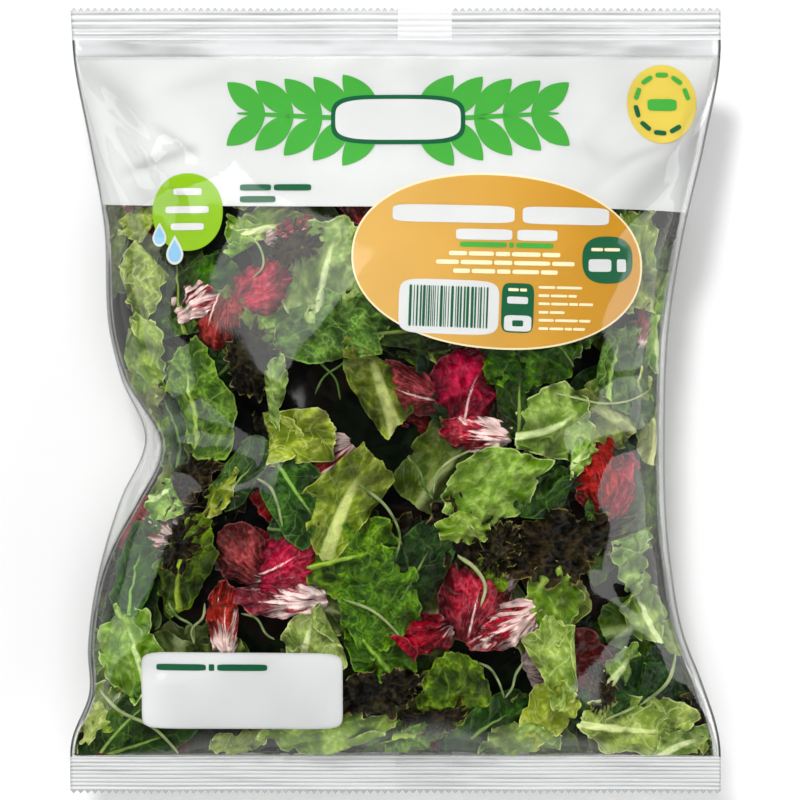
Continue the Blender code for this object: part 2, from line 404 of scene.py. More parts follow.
@dataclass
class LeafSpace:
    """The space the leaves fill inside the film, read as a skin: around the bag, and up it.

    Around is a length from the middle of the front, to the right above 0, which runs on over the sides to
    the back. The skin is worked out once as a table of points and outward normals.
    """

    form: BagForm
    rows: int = 181
    columns: int = 160
    pleat_share: float = 0.8
    film_gap: float = 0.0004
    bottom_gap: float = 0.0004
    top_gap: float = 0.0105

    def __post_init__(self) -> None:
        """Works out the table: each row's closed loop, read at even steps of its own length."""
        form = self.form
        self.low = form.bottom_line + self.bottom_gap
        self.high = form.top_line - self.top_gap
        row_y = np.linspace(self.low, self.high, self.rows)
        t = np.sin(np.pi / 2 * np.linspace(-1, 1, 2 * self.columns + 1))
        share, y = np.meshgrid(t, row_y)
        left, right = form.edges(y)
        gap = self.pleat_share * np.where(share < 0, *form.side_gaps(y))
        x = (right + left) / 2 + ((right - left) / 2 - gap) * share
        film_share = form.share_at(x, y)
        swell = (1 - np.abs(share) ** 9) ** 0.5
        seam = form.seam(x, y)
        front = seam + (form.front(x, film_share, y) - self.film_gap - seam) * swell
        back = seam + (form.back(x, film_share, y) + self.film_gap - seam) * swell
        over = np.stack([x, y, np.maximum(front, seam)], axis=-1)
        under = np.stack([x, y, np.minimum(back, seam)], axis=-1)
        thick = np.maximum(front - back, 0)
        half = self.columns
        loop = np.concatenate([under[:, half::-1], over[:, 1:], under[:, -2 : half - 1 : -1]], axis=1)
        depth = np.concatenate([thick[:, half::-1], thick[:, 1:], thick[:, -2 : half - 1 : -1]], axis=1)
        self.tabulate(loop, depth, 2 * half)

    def tabulate(self, loop: np.ndarray, depth: np.ndarray, middle: int) -> None:
        """Reads each row's loop at even steps of its own length, to each side of its front middle."""
        run = np.linalg.norm(np.diff(loop, axis=1), axis=-1)
        length = np.concatenate([np.zeros((self.rows, 1)), np.cumsum(run, axis=1)], axis=1)
        start = length[:, middle]
        self.reach = np.stack([start, length[:, -1] - start])
        steps = np.linspace(-1, 1, 2 * self.columns + 1)
        self.points = np.zeros((self.rows, len(steps), 3))
        self.thick = np.zeros((self.rows, len(steps)))
        for k in range(self.rows):
            at = start[k] + steps * np.where(steps < 0, self.reach[0, k], self.reach[1, k])
            for axis in range(3):
                self.points[k, :, axis] = np.interp(at, length[k], loop[k, :, axis])
            self.thick[k] = np.interp(at, length[k], depth[k])
        around = np.gradient(self.points, axis=1)
        upward = np.gradient(self.points, axis=0)
        normal = np.cross(around, upward)
        for _ in range(3):
            normal[:, 1:-1] = (normal[:, :-2] + 2 * normal[:, 1:-1] + normal[:, 2:]) / 4
        self.normals = normal / np.maximum(np.linalg.norm(normal, axis=-1, keepdims=True), 1e-12)

    def around(self, x: float, y: float) -> float:
        """The length around the front, from its middle, to a point seen at (x, y)."""
        k = int(np.clip(round((y - self.low) / (self.high - self.low) * (self.rows - 1)), 0, self.rows - 1))
        steps = np.linspace(-1, 1, 2 * self.columns + 1)
        front = self.normals[k, :, 2] > 0.02
        share = np.interp(x, self.points[k, front, 0], steps[front])
        return float(share * self.reach[int(share > 0), k])

    def read(self, table: np.ndarray, row: np.ndarray, column: np.ndarray) -> np.ndarray:
        """The table's value between its four nearest entries."""
        r = np.clip(np.floor(row).astype(int), 0, table.shape[0] - 2)
        c = np.clip(np.floor(column).astype(int), 0, table.shape[1] - 2)
        u, v = row - r, column - c
        if table.ndim == 3:
            u, v = u[..., None], v[..., None]
        low = table[r, c] * (1 - v) + table[r, c + 1] * v
        high = table[r + 1, c] * (1 - v) + table[r + 1, c + 1] * v
        return low * (1 - u) + high * u

    def lay(self, around: np.ndarray, up: np.ndarray, depth: np.ndarray) -> np.ndarray:
        """Points at a depth under the skin.

        A depth below 0 is pressed flat against the film, and a deep one levels off at a share of the bag's
        own thickness there, so that nothing comes out at the back.

        Args:
            around: lengths around the skin from the front's middle.
            up: heights up the bag.
            depth: depths under the skin.

        Returns:
            Points, the last axis being x, y and z.
        """
        up = np.clip(up, self.low, self.high)
        row = (up - self.low) / (self.high - self.low) * (self.rows - 1)
        index = np.arange(self.rows)
        reach = np.where(
            around < 0, np.interp(row, index, self.reach[0]), np.interp(row, index, self.reach[1])
        )
        share = around / np.maximum(reach, 1e-6)
        share = (share + 1) % 2 - 1
        column = (share + 1) * self.columns
        point = self.read(self.points, row, column)
        normal = self.read(self.normals, row, column)
        most = 0.40 * self.read(self.thick, row, column) + 0.0002
        soft = 0.0004
        depth = soft * np.logaddexp(0, depth / soft)
        return point - normal * (most * (1 - np.exp(-depth / most)))[..., None]


# ------------------------------------------------------------------------------
# Meshes
# ------------------------------------------------------------------------------


@dataclass
class Patch:
    """One grid of points with what its finish reads: its own flat places, its cell place and its tones,
    which on the leaves and the white band carry painted shade.
    """

    points: np.ndarray
    flat: np.ndarray
    tone: np.ndarray
    slot: int = 0
    tint: float = 0.5


@dataclass
class Batch:
    """Patches joined into one piece. Each patch has a square cell of its own in the piece's cell map."""

    name: str
    patches: list[Patch] = field(default_factory=list)

    def add(self, patch: Patch) -> None:
        """Keeps a patch for the piece."""
        self.patches.append(patch)

    def build(self, materials: list[bpy.types.Material], flip: bool = False) -> bpy.types.Object:
        """Joins the patches into one object at the origin.

        Args:
            materials: the piece's materials, by patch slot.
            flip: True to turn every face over.

        Returns:
            The object, linked to the scene.
        """
        points, faces, flats, tones, tints, cells, slots = [], [], [], [], [], [], []
        side = math.ceil(math.sqrt(len(self.patches)))
        first = 0
        for k, patch in enumerate(self.patches):
            rows, columns = patch.points.shape[:2]
            points.append(patch.points.reshape(-1, 3))
            faces.append(grid_faces(np.arange(rows * columns).reshape(rows, columns)) + first)
            flats.append(patch.flat.reshape(-1, 2))
            tones.append(patch.tone.reshape(-1, 4))
            tints.append(np.full(rows * columns, patch.tint))
            across, upward = np.linspace(*CELL_PART, columns), np.linspace(*CELL_PART, rows)
            v, u = np.meshgrid(upward, across, indexing="ij")
            cell = np.stack([(u + k % side) / side, (v + k // side) / side], axis=-1)
            cells.append(cell.reshape(-1, 2))
            slots.append(np.full(len(faces[-1]), patch.slot))
            first += rows * columns
        quads = np.concatenate(faces)
        if flip:
            quads = quads[:, ::-1]
        mesh = make_mesh(self.name, np.concatenate(points), quads)
        mesh.polygons.foreach_set("material_index", np.concatenate(slots).astype(np.int32))
        add_uv(mesh, "flat", np.concatenate(flats)[quads.ravel()])
        add_uv(mesh, "OFBake", np.concatenate(cells)[quads.ravel()])
        tone = mesh.attributes.new("tone", "FLOAT_COLOR", "POINT")
        tone.data.foreach_set("color", np.concatenate(tones).astype(np.float32).ravel())
        tint = mesh.attributes.new("tint", "FLOAT", "POINT")
        tint.data.foreach_set("value", np.concatenate(tints).astype(np.float32))
        return place_piece(self.name, mesh, materials)


def make_mesh(name: str, points: np.ndarray, faces: np.ndarray) -> bpy.types.Mesh:
    """A smooth-shaded mesh from arrays of points and of faces with the same number of corners."""
    mesh = bpy.data.meshes.new(name)
    corners = faces.shape[1]
    mesh.vertices.add(len(points))
    mesh.vertices.foreach_set("co", points.astype(np.float32).ravel())
    mesh.loops.add(faces.size)
    mesh.loops.foreach_set("vertex_index", faces.astype(np.int32).ravel())
    mesh.polygons.add(len(faces))
    mesh.polygons.foreach_set("loop_start", np.arange(0, faces.size, corners, dtype=np.int32))
    mesh.update(calc_edges=True)
    mesh.polygons.foreach_set("use_smooth", np.ones(len(faces), bool))
    return mesh


def add_uv(mesh: bpy.types.Mesh, name: str, places: np.ndarray) -> None:
    """Gives the mesh a UV map from one place for each face corner."""
    layer = mesh.uv_layers.new(name=name, do_init=False)
    layer.data.foreach_set("uv", places.astype(np.float32).ravel())


def place_piece(name: str, mesh: bpy.types.Mesh, materials: list[bpy.types.Material]) -> bpy.types.Object:
    """Links the mesh as an object at the origin, dressed in the materials."""
    for material in materials:
        mesh.materials.append(material)
    piece = bpy.data.objects.new(name, mesh)
    bpy.context.scene.collection.objects.link(piece)
    return piece


def disc_grid(count: int) -> tuple[np.ndarray, np.ndarray]:
    """A square grid turned into a disc, its squares becoming rings.

    Args:
        count: points along a side.

    Returns:
        The ring share, 0 to 1, and the angle of each point: the ring is the larger of |a| and |b|, and the
        angle is the smaller over the larger times an eighth of a turn, from that side's middle.
    """
    a, b = np.meshgrid(np.linspace(-1, 1, count), np.linspace(-1, 1, count))
    a, b = a + 1e-9, b + 2e-9
    flat = np.abs(a) >= np.abs(b)
    angle = np.where(flat, np.pi / 4 * b / a, np.pi / 2 - np.pi / 4 * a / b)
    angle = angle + np.where(np.where(flat, a, b) < 0, np.pi, 0)
    return np.maximum(np.abs(a), np.abs(b)), angle


# ------------------------------------------------------------------------------
# Finishes
# ------------------------------------------------------------------------------


class Graph:
    """A short way to write shader nodes."""

    def __init__(self, tree: bpy.types.NodeTree) -> None:
        """Works on the given node tree."""
        self.tree = tree

    def add(self, kind: str, inputs: dict | None = None, **settings: object) -> bpy.types.Node:
        """A node of a kind, with its settings, and each input set to a value or joined to a socket."""
        node = self.tree.nodes.new(kind)
        for name, value in settings.items():
            setattr(node, name, value)
        for name, value in (inputs or {}).items():
            socket = node.inputs[name]
            if isinstance(value, bpy.types.NodeSocket):
                self.tree.links.new(value, socket)
            elif isinstance(value, tuple) and len(value) == 3 and socket.type == "RGBA":
                socket.default_value = (*value, 1.0)
            else:
                socket.default_value = value
        return node

    def math(self, operation: str, *values: object) -> bpy.types.NodeSocket:
        """The result of a Math node on up to three values or sockets."""
        return self.add("ShaderNodeMath", dict(enumerate(values)), operation=operation).outputs[0]

    def mix(self, share: object, low: object, high: object, blend: str = "MIX") -> bpy.types.NodeSocket:
        """The colour share of the way from low to high."""
        node = self.add("ShaderNodeMix", data_type="RGBA", blend_type=blend)
        for index, value in ((0, share), (6, low), (7, high)):
            if isinstance(value, bpy.types.NodeSocket):
                self.tree.links.new(value, node.inputs[index])
            elif isinstance(value, tuple):
                node.inputs[index].default_value = (*value, 1.0)
            else:
                node.inputs[index].default_value = value
        return node.outputs[2]

    def grey(self, value: object) -> bpy.types.NodeSocket:
        """A value as a grey colour."""
        names = dict.fromkeys(("Red", "Green", "Blue"), value)
        return self.add("ShaderNodeCombineColor", names).outputs[0]

    def ramp(
        self, value: object, low: float, high: float, start: float = 0.0, end: float = 1.0
    ) -> bpy.types.NodeSocket:
        """A smooth step of the value: start below low, end above high."""
        names = {"Value": value, "From Min": low, "From Max": high, "To Min": start, "To Max": end}
        node = self.add("ShaderNodeMapRange", names, interpolation_type="SMOOTHSTEP")
        return node.outputs["Result"]

    def noise(self, place: object, scale: float, detail: float) -> bpy.types.NodeSocket:
        """A noise value over places."""
        names = {"Vector": place, "Scale": scale, "Detail": detail}
        return self.add("ShaderNodeTexNoise", names).outputs[0]

    def flat_noise(self, place: object, scale: float, detail: float, **more: float) -> bpy.types.Node:
        """A noise node over places on a flat map."""
        names = {"Vector": place, "Scale": scale, "Detail": detail, **more}
        return self.add("ShaderNodeTexNoise", names, noise_dimensions="2D")

    def cell_distance(self, place: object, scale: float) -> bpy.types.NodeSocket:
        """The distance to the edges of uneven cells, in cells."""
        names = {"Vector": place, "Scale": scale}
        more = {"feature": "DISTANCE_TO_EDGE", "voronoi_dimensions": "2D"}
        return self.add("ShaderNodeTexVoronoi", names, **more).outputs["Distance"]

    def uv(self, name: str) -> bpy.types.NodeSocket:
        """The piece's own map of that name."""
        return self.add("ShaderNodeUVMap", uv_map=name).outputs[0]

    def object_place(self) -> bpy.types.NodeSocket:
        """Places in the piece's own metres."""
        return self.add("ShaderNodeTexCoord").outputs["Object"]

    def carried(self, name: str, output: str = "Fac") -> bpy.types.NodeSocket:
        """A value or colour that the mesh carries under that name."""
        return self.add("ShaderNodeAttribute", attribute_name=name).outputs[output]

    def axis(self, place: object, name: str) -> bpy.types.NodeSocket:
        """One axis of a place."""
        return self.add("ShaderNodeSeparateXYZ", {"Vector": place}).outputs[name]

    def stretched(self, place: object, scale: tuple[float, float, float]) -> bpy.types.NodeSocket:
        """Places scaled along each axis."""
        return self.add("ShaderNodeMapping", {"Vector": place, "Scale": scale}).outputs[0]

    def times(self, *values: object) -> bpy.types.NodeSocket:
        """The product of two values or sockets."""
        return self.math("MULTIPLY", *values)

    def minus(self, *values: object) -> bpy.types.NodeSocket:
        """The first value or socket less the second."""
        return self.math("SUBTRACT", *values)

    def line(self, value: object, slope: object, start: object) -> bpy.types.NodeSocket:
        """The value times the slope, plus the start."""
        return self.math("MULTIPLY_ADD", value, slope, start)

    def largest(self, first: object, *others: object) -> bpy.types.NodeSocket:
        """The largest of the values or sockets."""
        for other in others:
            first = self.math("MAXIMUM", first, other)
        return first

    def relief(self, height: object, strength: float, distance: float) -> bpy.types.NodeSocket:
        """The normal of a surface with that height over it."""
        names = {"Height": height, "Strength": strength, "Distance": distance}
        return self.add("ShaderNodeBump", names).outputs["Normal"]

    def feed(self, shader: bpy.types.Node, **sockets: bpy.types.NodeSocket) -> None:
        """Joins sockets to the shader's inputs, where an underscore stands for the space in a name."""
        for name, socket in sockets.items():
            self.tree.links.new(socket, shader.inputs[name.replace("_", " ")])


def new_material(name: str) -> tuple[bpy.types.Material, Graph, bpy.types.Node]:
    """A material with a Principled shader, its graph and that shader's node."""
    material = bpy.data.materials.new(name)
    material.use_nodes = True
    return material, Graph(material.node_tree), material.node_tree.nodes["Principled BSDF"]


#: The part of its bake cell that each patch fills, along each side.
CELL_PART = (0.03, 0.97)
#: The ridged noise that is a wrinkle's foot, and its top, where the painted highlight starts and is full.
WRINKLE_RANGE = (1.1, 1.6)


def leaf_vein_group() -> bpy.types.NodeTree:
    """The node group for a leaf's veins, read from the leaf's own flat places in centimetres.

    Side veins lean forward from the midrib: they lie where (x - lean |y|) / spacing is a whole number, the
    two sides half a step apart. Uneven cells of two sizes puff up between finer veins, and ridged noise
    makes the wrinkles.

    Returns:
        The group, with inputs Place, Drift, Spacing, Lean and Width, and outputs Veins, Net, Field, Puff,
        Cells (the larger cells alone) and Wrinkle.
    """
    tree = bpy.data.node_groups.new("leaf_veins", "ShaderNodeTree")
    for name in ("Place", "Drift"):
        tree.interface.new_socket(name, in_out="INPUT", socket_type="NodeSocketVector")
    for name in ("Spacing", "Lean", "Width"):
        tree.interface.new_socket(name, in_out="INPUT", socket_type="NodeSocketFloat")
    for name in ("Veins", "Net", "Field", "Puff", "Cells", "Wrinkle"):
        tree.interface.new_socket(name, in_out="OUTPUT", socket_type="NodeSocketFloat")
    graph = Graph(tree)
    given = graph.add("NodeGroupInput").outputs
    wander = graph.flat_noise(given["Drift"], 1.1, 1.0)
    split = graph.add("ShaderNodeSeparateXYZ", {"Vector": given["Place"]}).outputs
    x = graph.line(wander.outputs[0], 0.9, split["X"])
    y = graph.math("ABSOLUTE", split["Y"])
    lean = graph.times(y, given["Lean"])
    side = graph.times(graph.math("GREATER_THAN", split["Y"], 0.0), 0.5)
    turn = graph.math("ADD", graph.math("DIVIDE", graph.minus(x, lean), given["Spacing"]), side)
    away = graph.math("ABSOLUTE", graph.minus(graph.math("FRACT", turn), 0.5))
    field_share = graph.times(away, 2.0)
    away = graph.times(away, given["Spacing"])
    veins = graph.minus(1.0, graph.ramp(graph.math("DIVIDE", away, given["Width"]), 0.0, 1.0))
    warped = graph.add("ShaderNodeVectorMath", {0: given["Drift"], 1: wander.outputs[1]}, operation="ADD")
    warped = warped.outputs[0]
    large = graph.cell_distance(warped, 1.0)
    small = graph.cell_distance(warped, 3.1)
    patchy = graph.ramp(graph.flat_noise(given["Drift"], 0.7, 1.0).outputs[0], 0.36, 0.62)
    coarse = graph.times(graph.ramp(large, 0.0, 0.028, 1.0, 0.0), patchy)
    net = graph.ramp(small, 0.0, 0.09, 1.0, 0.0)
    veins = graph.largest(graph.times(veins, 0.8), coarse)
    cells = graph.ramp(large, 0.0, 0.34)
    puff = graph.line(graph.ramp(small, 0.0, 0.3), 0.35, graph.times(cells, 0.65))
    stretched = graph.stretched(warped, (0.75, 1.5, 1.0))
    folds = {"noise_dimensions": "2D", "noise_type": "RIDGED_MULTIFRACTAL"}
    ridges = {"Vector": stretched, "Scale": 1.1, "Detail": 3.0, "Offset": 1.0, "Gain": 1.6}
    wrinkle = graph.add("ShaderNodeTexNoise", ridges, **folds)
    names = {"Veins": veins, "Net": net, "Field": field_share, "Puff": puff, "Cells": cells}
    names["Wrinkle"] = wrinkle.outputs[0]
    graph.add("NodeGroupOutput", names)
    return tree


@dataclass(frozen=True)
class LeafFinish:
    """How a kind of leaf is coloured: its ground colours, its ribs, its margin and its gloss, with painted
    shade and highlights.
    """

    name: str
    deep: Colour
    middle: Colour
    pale: Colour
    rib: Colour
    margin: Colour
    margin_and_highlight_share: float = 0.75
    vein_and_shade_share: float = 0.5
    net_share: float = 0.2
    vein_spacing: float = 1.0
    vein_lean: float = 0.9
    vein_width: float = 0.07
    mottle: float = 1.0
    spread: float = 0.68
    hue_range: float = 0.045
    roughness: float = 0.34
    relief: float = 0.7
    shine: float = 0.5
    streaks: float = 0.0
    puff_shade_share: float = 0.45
    crest_highlight_share: float = 0.35
    dark_veined: float = 0.5
    fullest: tuple[float, float] = (1.16, 0.94)

    def build(self, veins: bpy.types.NodeTree) -> bpy.types.Material:
        """Makes the material.

        Args:
            veins: the leaf vein node group.

        Returns:
            The material: ground colours mixed by noise, fields, ribs, veins and margin, painted shade and
                highlights,
            then lightened or darkened by each leaf's own tone, which carries painted shade.
        """
        material, graph, shader = new_material(self.name)
        place = graph.uv("flat")
        parts = graph.add("ShaderNodeSeparateColor", {"Color": graph.carried("tone", "Color")}).outputs
        own, rib, margin = parts["Red"], parts["Green"], parts["Blue"]
        inputs = {"Spacing": self.vein_spacing, "Lean": self.vein_lean, "Width": self.vein_width}
        tint = graph.carried("tint")
        away = graph.add("ShaderNodeVectorMath", {0: (37.0, 91.0, 0.0), "Scale": tint}, operation="SCALE")
        shifted = {0: place, 1: away.outputs[0]}
        drift = graph.add("ShaderNodeVectorMath", shifted, operation="ADD").outputs[0]
        group = self.vein_node(graph, veins, {"Place": place, "Drift": drift}, inputs)
        broad = graph.flat_noise(drift, 0.9 * self.mottle, 2.0).outputs[0]
        fine = graph.flat_noise(drift, 5.0 * self.mottle, 2.0).outputs[0]
        colour = graph.mix(graph.ramp(broad, 0.34, 0.66), self.deep, self.middle)
        lift = graph.times(graph.ramp(fine, 0.40, 0.72), graph.ramp(broad, 0.42, 0.62))
        colour = graph.mix(lift, colour, self.pale)
        # Painted shade: darker beside the side veins, as in their grooves.
        shade = graph.times(graph.ramp(group["Field"], 0.0, 0.8, 0.35, 0.0), self.vein_and_shade_share)
        colour = graph.mix(shade, colour, self.deep)
        # Painted shade: darker round each puff, toward the finer veins.
        puff_shade = graph.times(graph.minus(1.0, group["Puff"]), self.puff_shade_share)
        colour = graph.mix(puff_shade, colour, self.deep)
        # Painted highlight: paler along the wrinkles' crests.
        crest_highlight = graph.times(graph.ramp(group["Wrinkle"], *WRINKLE_RANGE), self.crest_highlight_share)
        colour = graph.mix(crest_highlight, colour, self.pale)
        colour = graph.mix(graph.times(group["Net"], self.net_share), colour, self.rib)
        lines = graph.mix(graph.math("GREATER_THAN", tint, 1 - self.dark_veined), self.rib, self.deep)
        colour = graph.mix(graph.times(group["Veins"], self.vein_and_shade_share), colour, lines)
        # Pale margin: partly the leaf's own paler edge, partly a painted rim highlight.
        edge = graph.times(graph.ramp(margin, 0.945, 0.99), self.margin_and_highlight_share)
        colour = graph.mix(edge, colour, self.margin)
        if self.streaks > 0:
            colour = self.add_streaks(graph, drift, graph.carried("tone", "Alpha"), colour)
        grain = graph.ramp(graph.math("FRACT", graph.times(own, 7.0)), 0.0, 1.0, 0.9, 0.7)
        colour = graph.mix(graph.times(graph.ramp(rib, 0.2, 0.85), grain), colour, self.rib)
        # The tone's red carries the painted shade from LeafMaker and lightens or darkens the whole colour.
        value = graph.line(own, 2 * self.spread, 1 - self.spread)
        hue = graph.line(tint, self.hue_range, 0.5 - 0.55 * self.hue_range)
        leaf_draw = graph.math("FRACT", graph.times(tint, 5.3))
        fullness = graph.line(leaf_draw, self.fullest[1] - self.fullest[0], self.fullest[0])
        names = {"Hue": hue, "Value": value, "Color": colour, "Saturation": fullness, "Fac": 1.0}
        colour = graph.add("ShaderNodeHueSaturation", names).outputs["Color"]
        graph.feed(shader, Base_Color=colour)
        rough = graph.ramp(fine, 0.2, 0.8, self.roughness - 0.06, self.roughness + 0.12)
        graph.feed(shader, Roughness=rough)
        shader.inputs["Specular IOR Level"].default_value = self.shine
        height = graph.line(group["Wrinkle"], 0.55, graph.times(group["Cells"], 0.7))
        height = graph.line(fine, 0.9, height)
        graph.feed(shader, Normal=graph.relief(height, self.relief, 0.0007))
        return material

    @staticmethod
    def vein_node(graph: Graph, veins: bpy.types.NodeTree, places: dict, inputs: dict) -> object:
        """The vein group's outputs, placed in this material with its own values."""
        node = graph.add("ShaderNodeGroup", node_tree=veins)
        for name, place in places.items():
            graph.tree.links.new(place, node.inputs[name])
        for name, value in inputs.items():
            node.inputs[name].default_value = value
        return node.outputs

    def add_streaks(self, graph: Graph, place: object, lengthwise: object, colour: object) -> object:
        """White and pink streaks out from the leaf's foot, broad and many there, fine at its tip."""
        stretched = graph.stretched(place, (0.5, 2.6, 1.0))
        streak = graph.flat_noise(stretched, 1.6, 4.0, Roughness=0.62, Distortion=0.5).outputs[0]
        level = graph.ramp(lengthwise, 0.0, 0.55, 0.34, 0.74)
        share = graph.ramp(graph.minus(streak, level), -0.04, 0.10)
        fine = graph.stretched(place, (1.2, 13.0, 1.0))
        fibre = graph.ramp(graph.flat_noise(fine, 1.5, 2.0, Distortion=0.6).outputs[0], 0.56, 0.68)
        colour = graph.mix(graph.times(fibre, 0.7), colour, self.pale)
        return graph.mix(graph.times(share, self.streaks), colour, self.rib)


@dataclass(frozen=True)
class InkFinish:
    """A flat printed colour, faintly uneven as print is. It may turn to another colour to the right. The
    mesh's tone can darken it with painted shade, as along the white band's folds.
    """

    name: str
    colour: Colour
    right: Colour | None = None
    turns: tuple[float, float] = (-0.03, 0.10)
    roughness: float = 0.45

    def build(self) -> bpy.types.Material:
        """Makes the material: the colour, a little darker and lighter in soft patches and fine grain, and
        darker where the mesh's tone paints shade.
        """
        material, graph, shader = new_material(self.name)
        place = graph.object_place()
        cloud = graph.noise(place, 38.0, 2.0)
        grain = graph.noise(place, 2600.0, 2.0)
        share = graph.line(grain, 0.06, graph.times(cloud, 0.94))
        own = graph.carried("tone", "Color")
        # The tone's red is painted shade on the white band, and 1 on every other print.
        lit = graph.add("ShaderNodeSeparateColor", {"Color": own}).outputs["Red"]
        shade = graph.times(graph.ramp(share, 0.3, 0.7, 0.955, 1.0), lit)
        across = graph.axis(place, "X")
        turn = graph.ramp(across, *self.turns)
        colour = graph.mix(turn, self.colour, self.right or self.colour)
        colour = graph.mix(1.0, colour, graph.grey(shade), "MULTIPLY")
        graph.feed(shader, Base_Color=colour)
        rough = graph.ramp(cloud, 0.3, 0.7, self.roughness - 0.04, self.roughness + 0.06)
        graph.feed(shader, Roughness=rough)
        return material


@dataclass(frozen=True)
class FilmFinish:
    """Clear glossy film: it lets most light through and mirrors the rest, more at a slant.

    Near the side folds and the seals, where it is creased, it looks milky, and that pale colour is partly
    painted light for the bright floor seen through. A painted shade line runs along each side fold and
    pleat.
    """

    gloss: float = 0.045
    mirror: float = 1.35
    most: float = 0.18
    clear: Colour = (0.95, 0.96, 0.95)
    # The milky colours, partly painted light for the bright floor seen through, and between them the
    # painted shade line's colour.
    backlit_haze: Colour = srgb(224, 226, 227)
    edge: Colour = srgb(26, 36, 22)
    backlit_pleat: Colour = srgb(250, 251, 250)
    milky: float = 0.92
    shade_line_cover: float = 0.85
    pleat_milk: float = 0.62
    rim_shade_line: tuple[float, float] = (0.988, 0.996)
    top_backlit_haze: tuple[float, float] = (0.1245, 0.1280)
    bottom_backlit_haze: tuple[float, float] = (-0.1315, -0.1300)

    def build(self) -> bpy.types.Material:
        """Makes the material: a bright metallic mirror whose alpha is the film's reflectance, with painted
        shade lines and milky patches that are partly painted light.
        """
        material, graph, shader = new_material("clear_film")
        place = graph.object_place()
        # Painted shade: a dark line along the side fold and along the pleat's folded line.
        edge = graph.carried("rim")
        line = graph.ramp(edge, *self.rim_shade_line)
        slid = graph.stretched(place, (60.0, 14.0, 60.0))
        patchy = graph.ramp(graph.noise(slid, 1.0, 2.0), 0.35, 0.62, 0.5, 0.9)
        pleat = graph.carried("pleat")
        crease_shade = graph.carried("crease_shade")
        line = graph.largest(line, crease_shade)
        # Milky pleats and strips by the seals, pale partly as painted light for the bright floor seen
        # through.
        milk_and_backlight = graph.times(graph.times(pleat, patchy), self.pleat_milk)
        height = graph.axis(place, "Y")
        wide = graph.stretched(place, (16.0, 90.0, 1.0))
        smudge = graph.ramp(graph.noise(wide, 1.0, 2.0), 0.40, 0.62, 1.0, 0.62)
        high = graph.times(graph.ramp(height, *self.top_backlit_haze), smudge)
        low = graph.times(graph.ramp(height, *self.bottom_backlit_haze, 1.0, 0.0), 0.5)
        milk_and_backlight = graph.largest(milk_and_backlight, high, low)
        colour = graph.mix(milk_and_backlight, self.clear, graph.mix(pleat, self.backlit_haze, self.backlit_pleat))
        colour = graph.mix(line, colour, self.edge)
        graph.feed(shader, Base_Color=colour)
        graph.feed(shader, Metallic=graph.minus(1.0, milk_and_backlight))
        smear = graph.noise(place, 55.0, 3.0)
        rough = graph.ramp(smear, 0.3, 0.75, self.gloss, self.gloss + 0.06)
        graph.feed(shader, Roughness=rough)
        fresnel = graph.add("ShaderNodeFresnel", {"IOR": 1.5}).outputs[0]
        share = graph.math("MINIMUM", graph.times(fresnel, self.mirror), self.most)
        rim = graph.times(graph.minus(fresnel, 0.5), 1.6)
        lined, milked = graph.times(line, self.shade_line_cover), graph.times(milk_and_backlight, self.milky)
        graph.feed(shader, Alpha=graph.largest(share, rim, lined, milked))
        ripple = graph.noise(place, 240.0, 2.0)
        graph.feed(shader, Normal=graph.relief(ripple, 0.06, 0.0003))
        return material


@dataclass(frozen=True)
class SealFinish:
    """The crimped seals: two films pressed together, milky, with a painted grey shade line in each rib's
    hollow.
    """

    cover: float = 0.80
    first_rib: float = 134.9
    rib_pitch: float = 2.58
    first_low_rib: float = 132.24
    low_rib_pitch: float = 1.43
    fin_edge: float = 0.0002
    doubled: Colour = srgb(253, 253, 253)
    light: Colour = srgb(242, 243, 243)
    groove_shade: Colour = srgb(160, 162, 164)
    low_shade: float = 0.18
    cut_edge: tuple[float, float] = (142.9, 144.4)

    def build(self) -> bpy.types.Material:
        """Makes the material: pale grey, partly see-through, with painted shade in the grooves, along the
        cut teeth and on the lower seal, and darker in soft patches.
        """
        material, graph, shader = new_material("seal_film")
        place = graph.object_place()
        height = graph.axis(place, "Y")
        from_middle = graph.times(graph.math("ABSOLUTE", height), 1 / MM)
        turn = graph.math("DIVIDE", graph.minus(from_middle, self.first_rib), self.rib_pitch)
        lower = graph.minus(from_middle, self.first_low_rib)
        lower = graph.minus(graph.math("DIVIDE", lower, self.low_rib_pitch), turn)
        is_low = graph.math("LESS_THAN", height, 0.0)
        turn = graph.line(is_low, lower, turn)
        away = graph.math("ABSOLUTE", graph.minus(graph.math("FRACT", turn), 0.5))
        wide = graph.stretched(place, (9.0, 160.0, 1.0))
        cloud = graph.noise(wide, 3.0, 2.0)
        # Painted shade: a grey line in each rib's hollow.
        groove_shade = graph.times(graph.ramp(away, 0.22, 0.47), graph.ramp(cloud, 0.2, 0.75, 0.45, 1.0))
        colour = graph.mix(groove_shade, self.light, self.groove_shade)
        colour = graph.mix(graph.ramp(cloud, 0.5, 0.8, 0.0, 0.35), colour, self.groove_shade)
        # Painted shade along the cut teeth.
        cut = graph.ramp(from_middle, *self.cut_edge, 0.0, 0.55)
        colour = graph.mix(cut, colour, self.groove_shade)
        # Painted shade: the lower seal is darker, away from the key light.
        low_end = graph.ramp(height, -self.first_rib * MM, self.first_rib * MM, self.low_shade, 0.0)
        colour = graph.mix(low_end, colour, self.groove_shade)
        across = graph.axis(place, "X")
        begun, ended = ((x - self.fin_edge, x + self.fin_edge) for x in FIN)
        fin = graph.times(graph.ramp(across, *begun), graph.ramp(across, *ended, 1.0, 0.0))
        whiter = graph.times(fin, graph.line(is_low, -0.7, 0.7))
        colour = graph.mix(whiter, colour, self.doubled)
        greyer = graph.times(graph.times(fin, is_low), 0.14)
        colour = graph.mix(greyer, colour, self.groove_shade)
        graph.feed(shader, Base_Color=colour)
        graph.feed(shader, Roughness=graph.ramp(cloud, 0.2, 0.8, 0.2, 0.34))
        cover = graph.line(graph.largest(groove_shade, fin), 0.15, self.cover)
        graph.feed(shader, Alpha=cover)
        return material


# ------------------------------------------------------------------------------
# The film
# ------------------------------------------------------------------------------


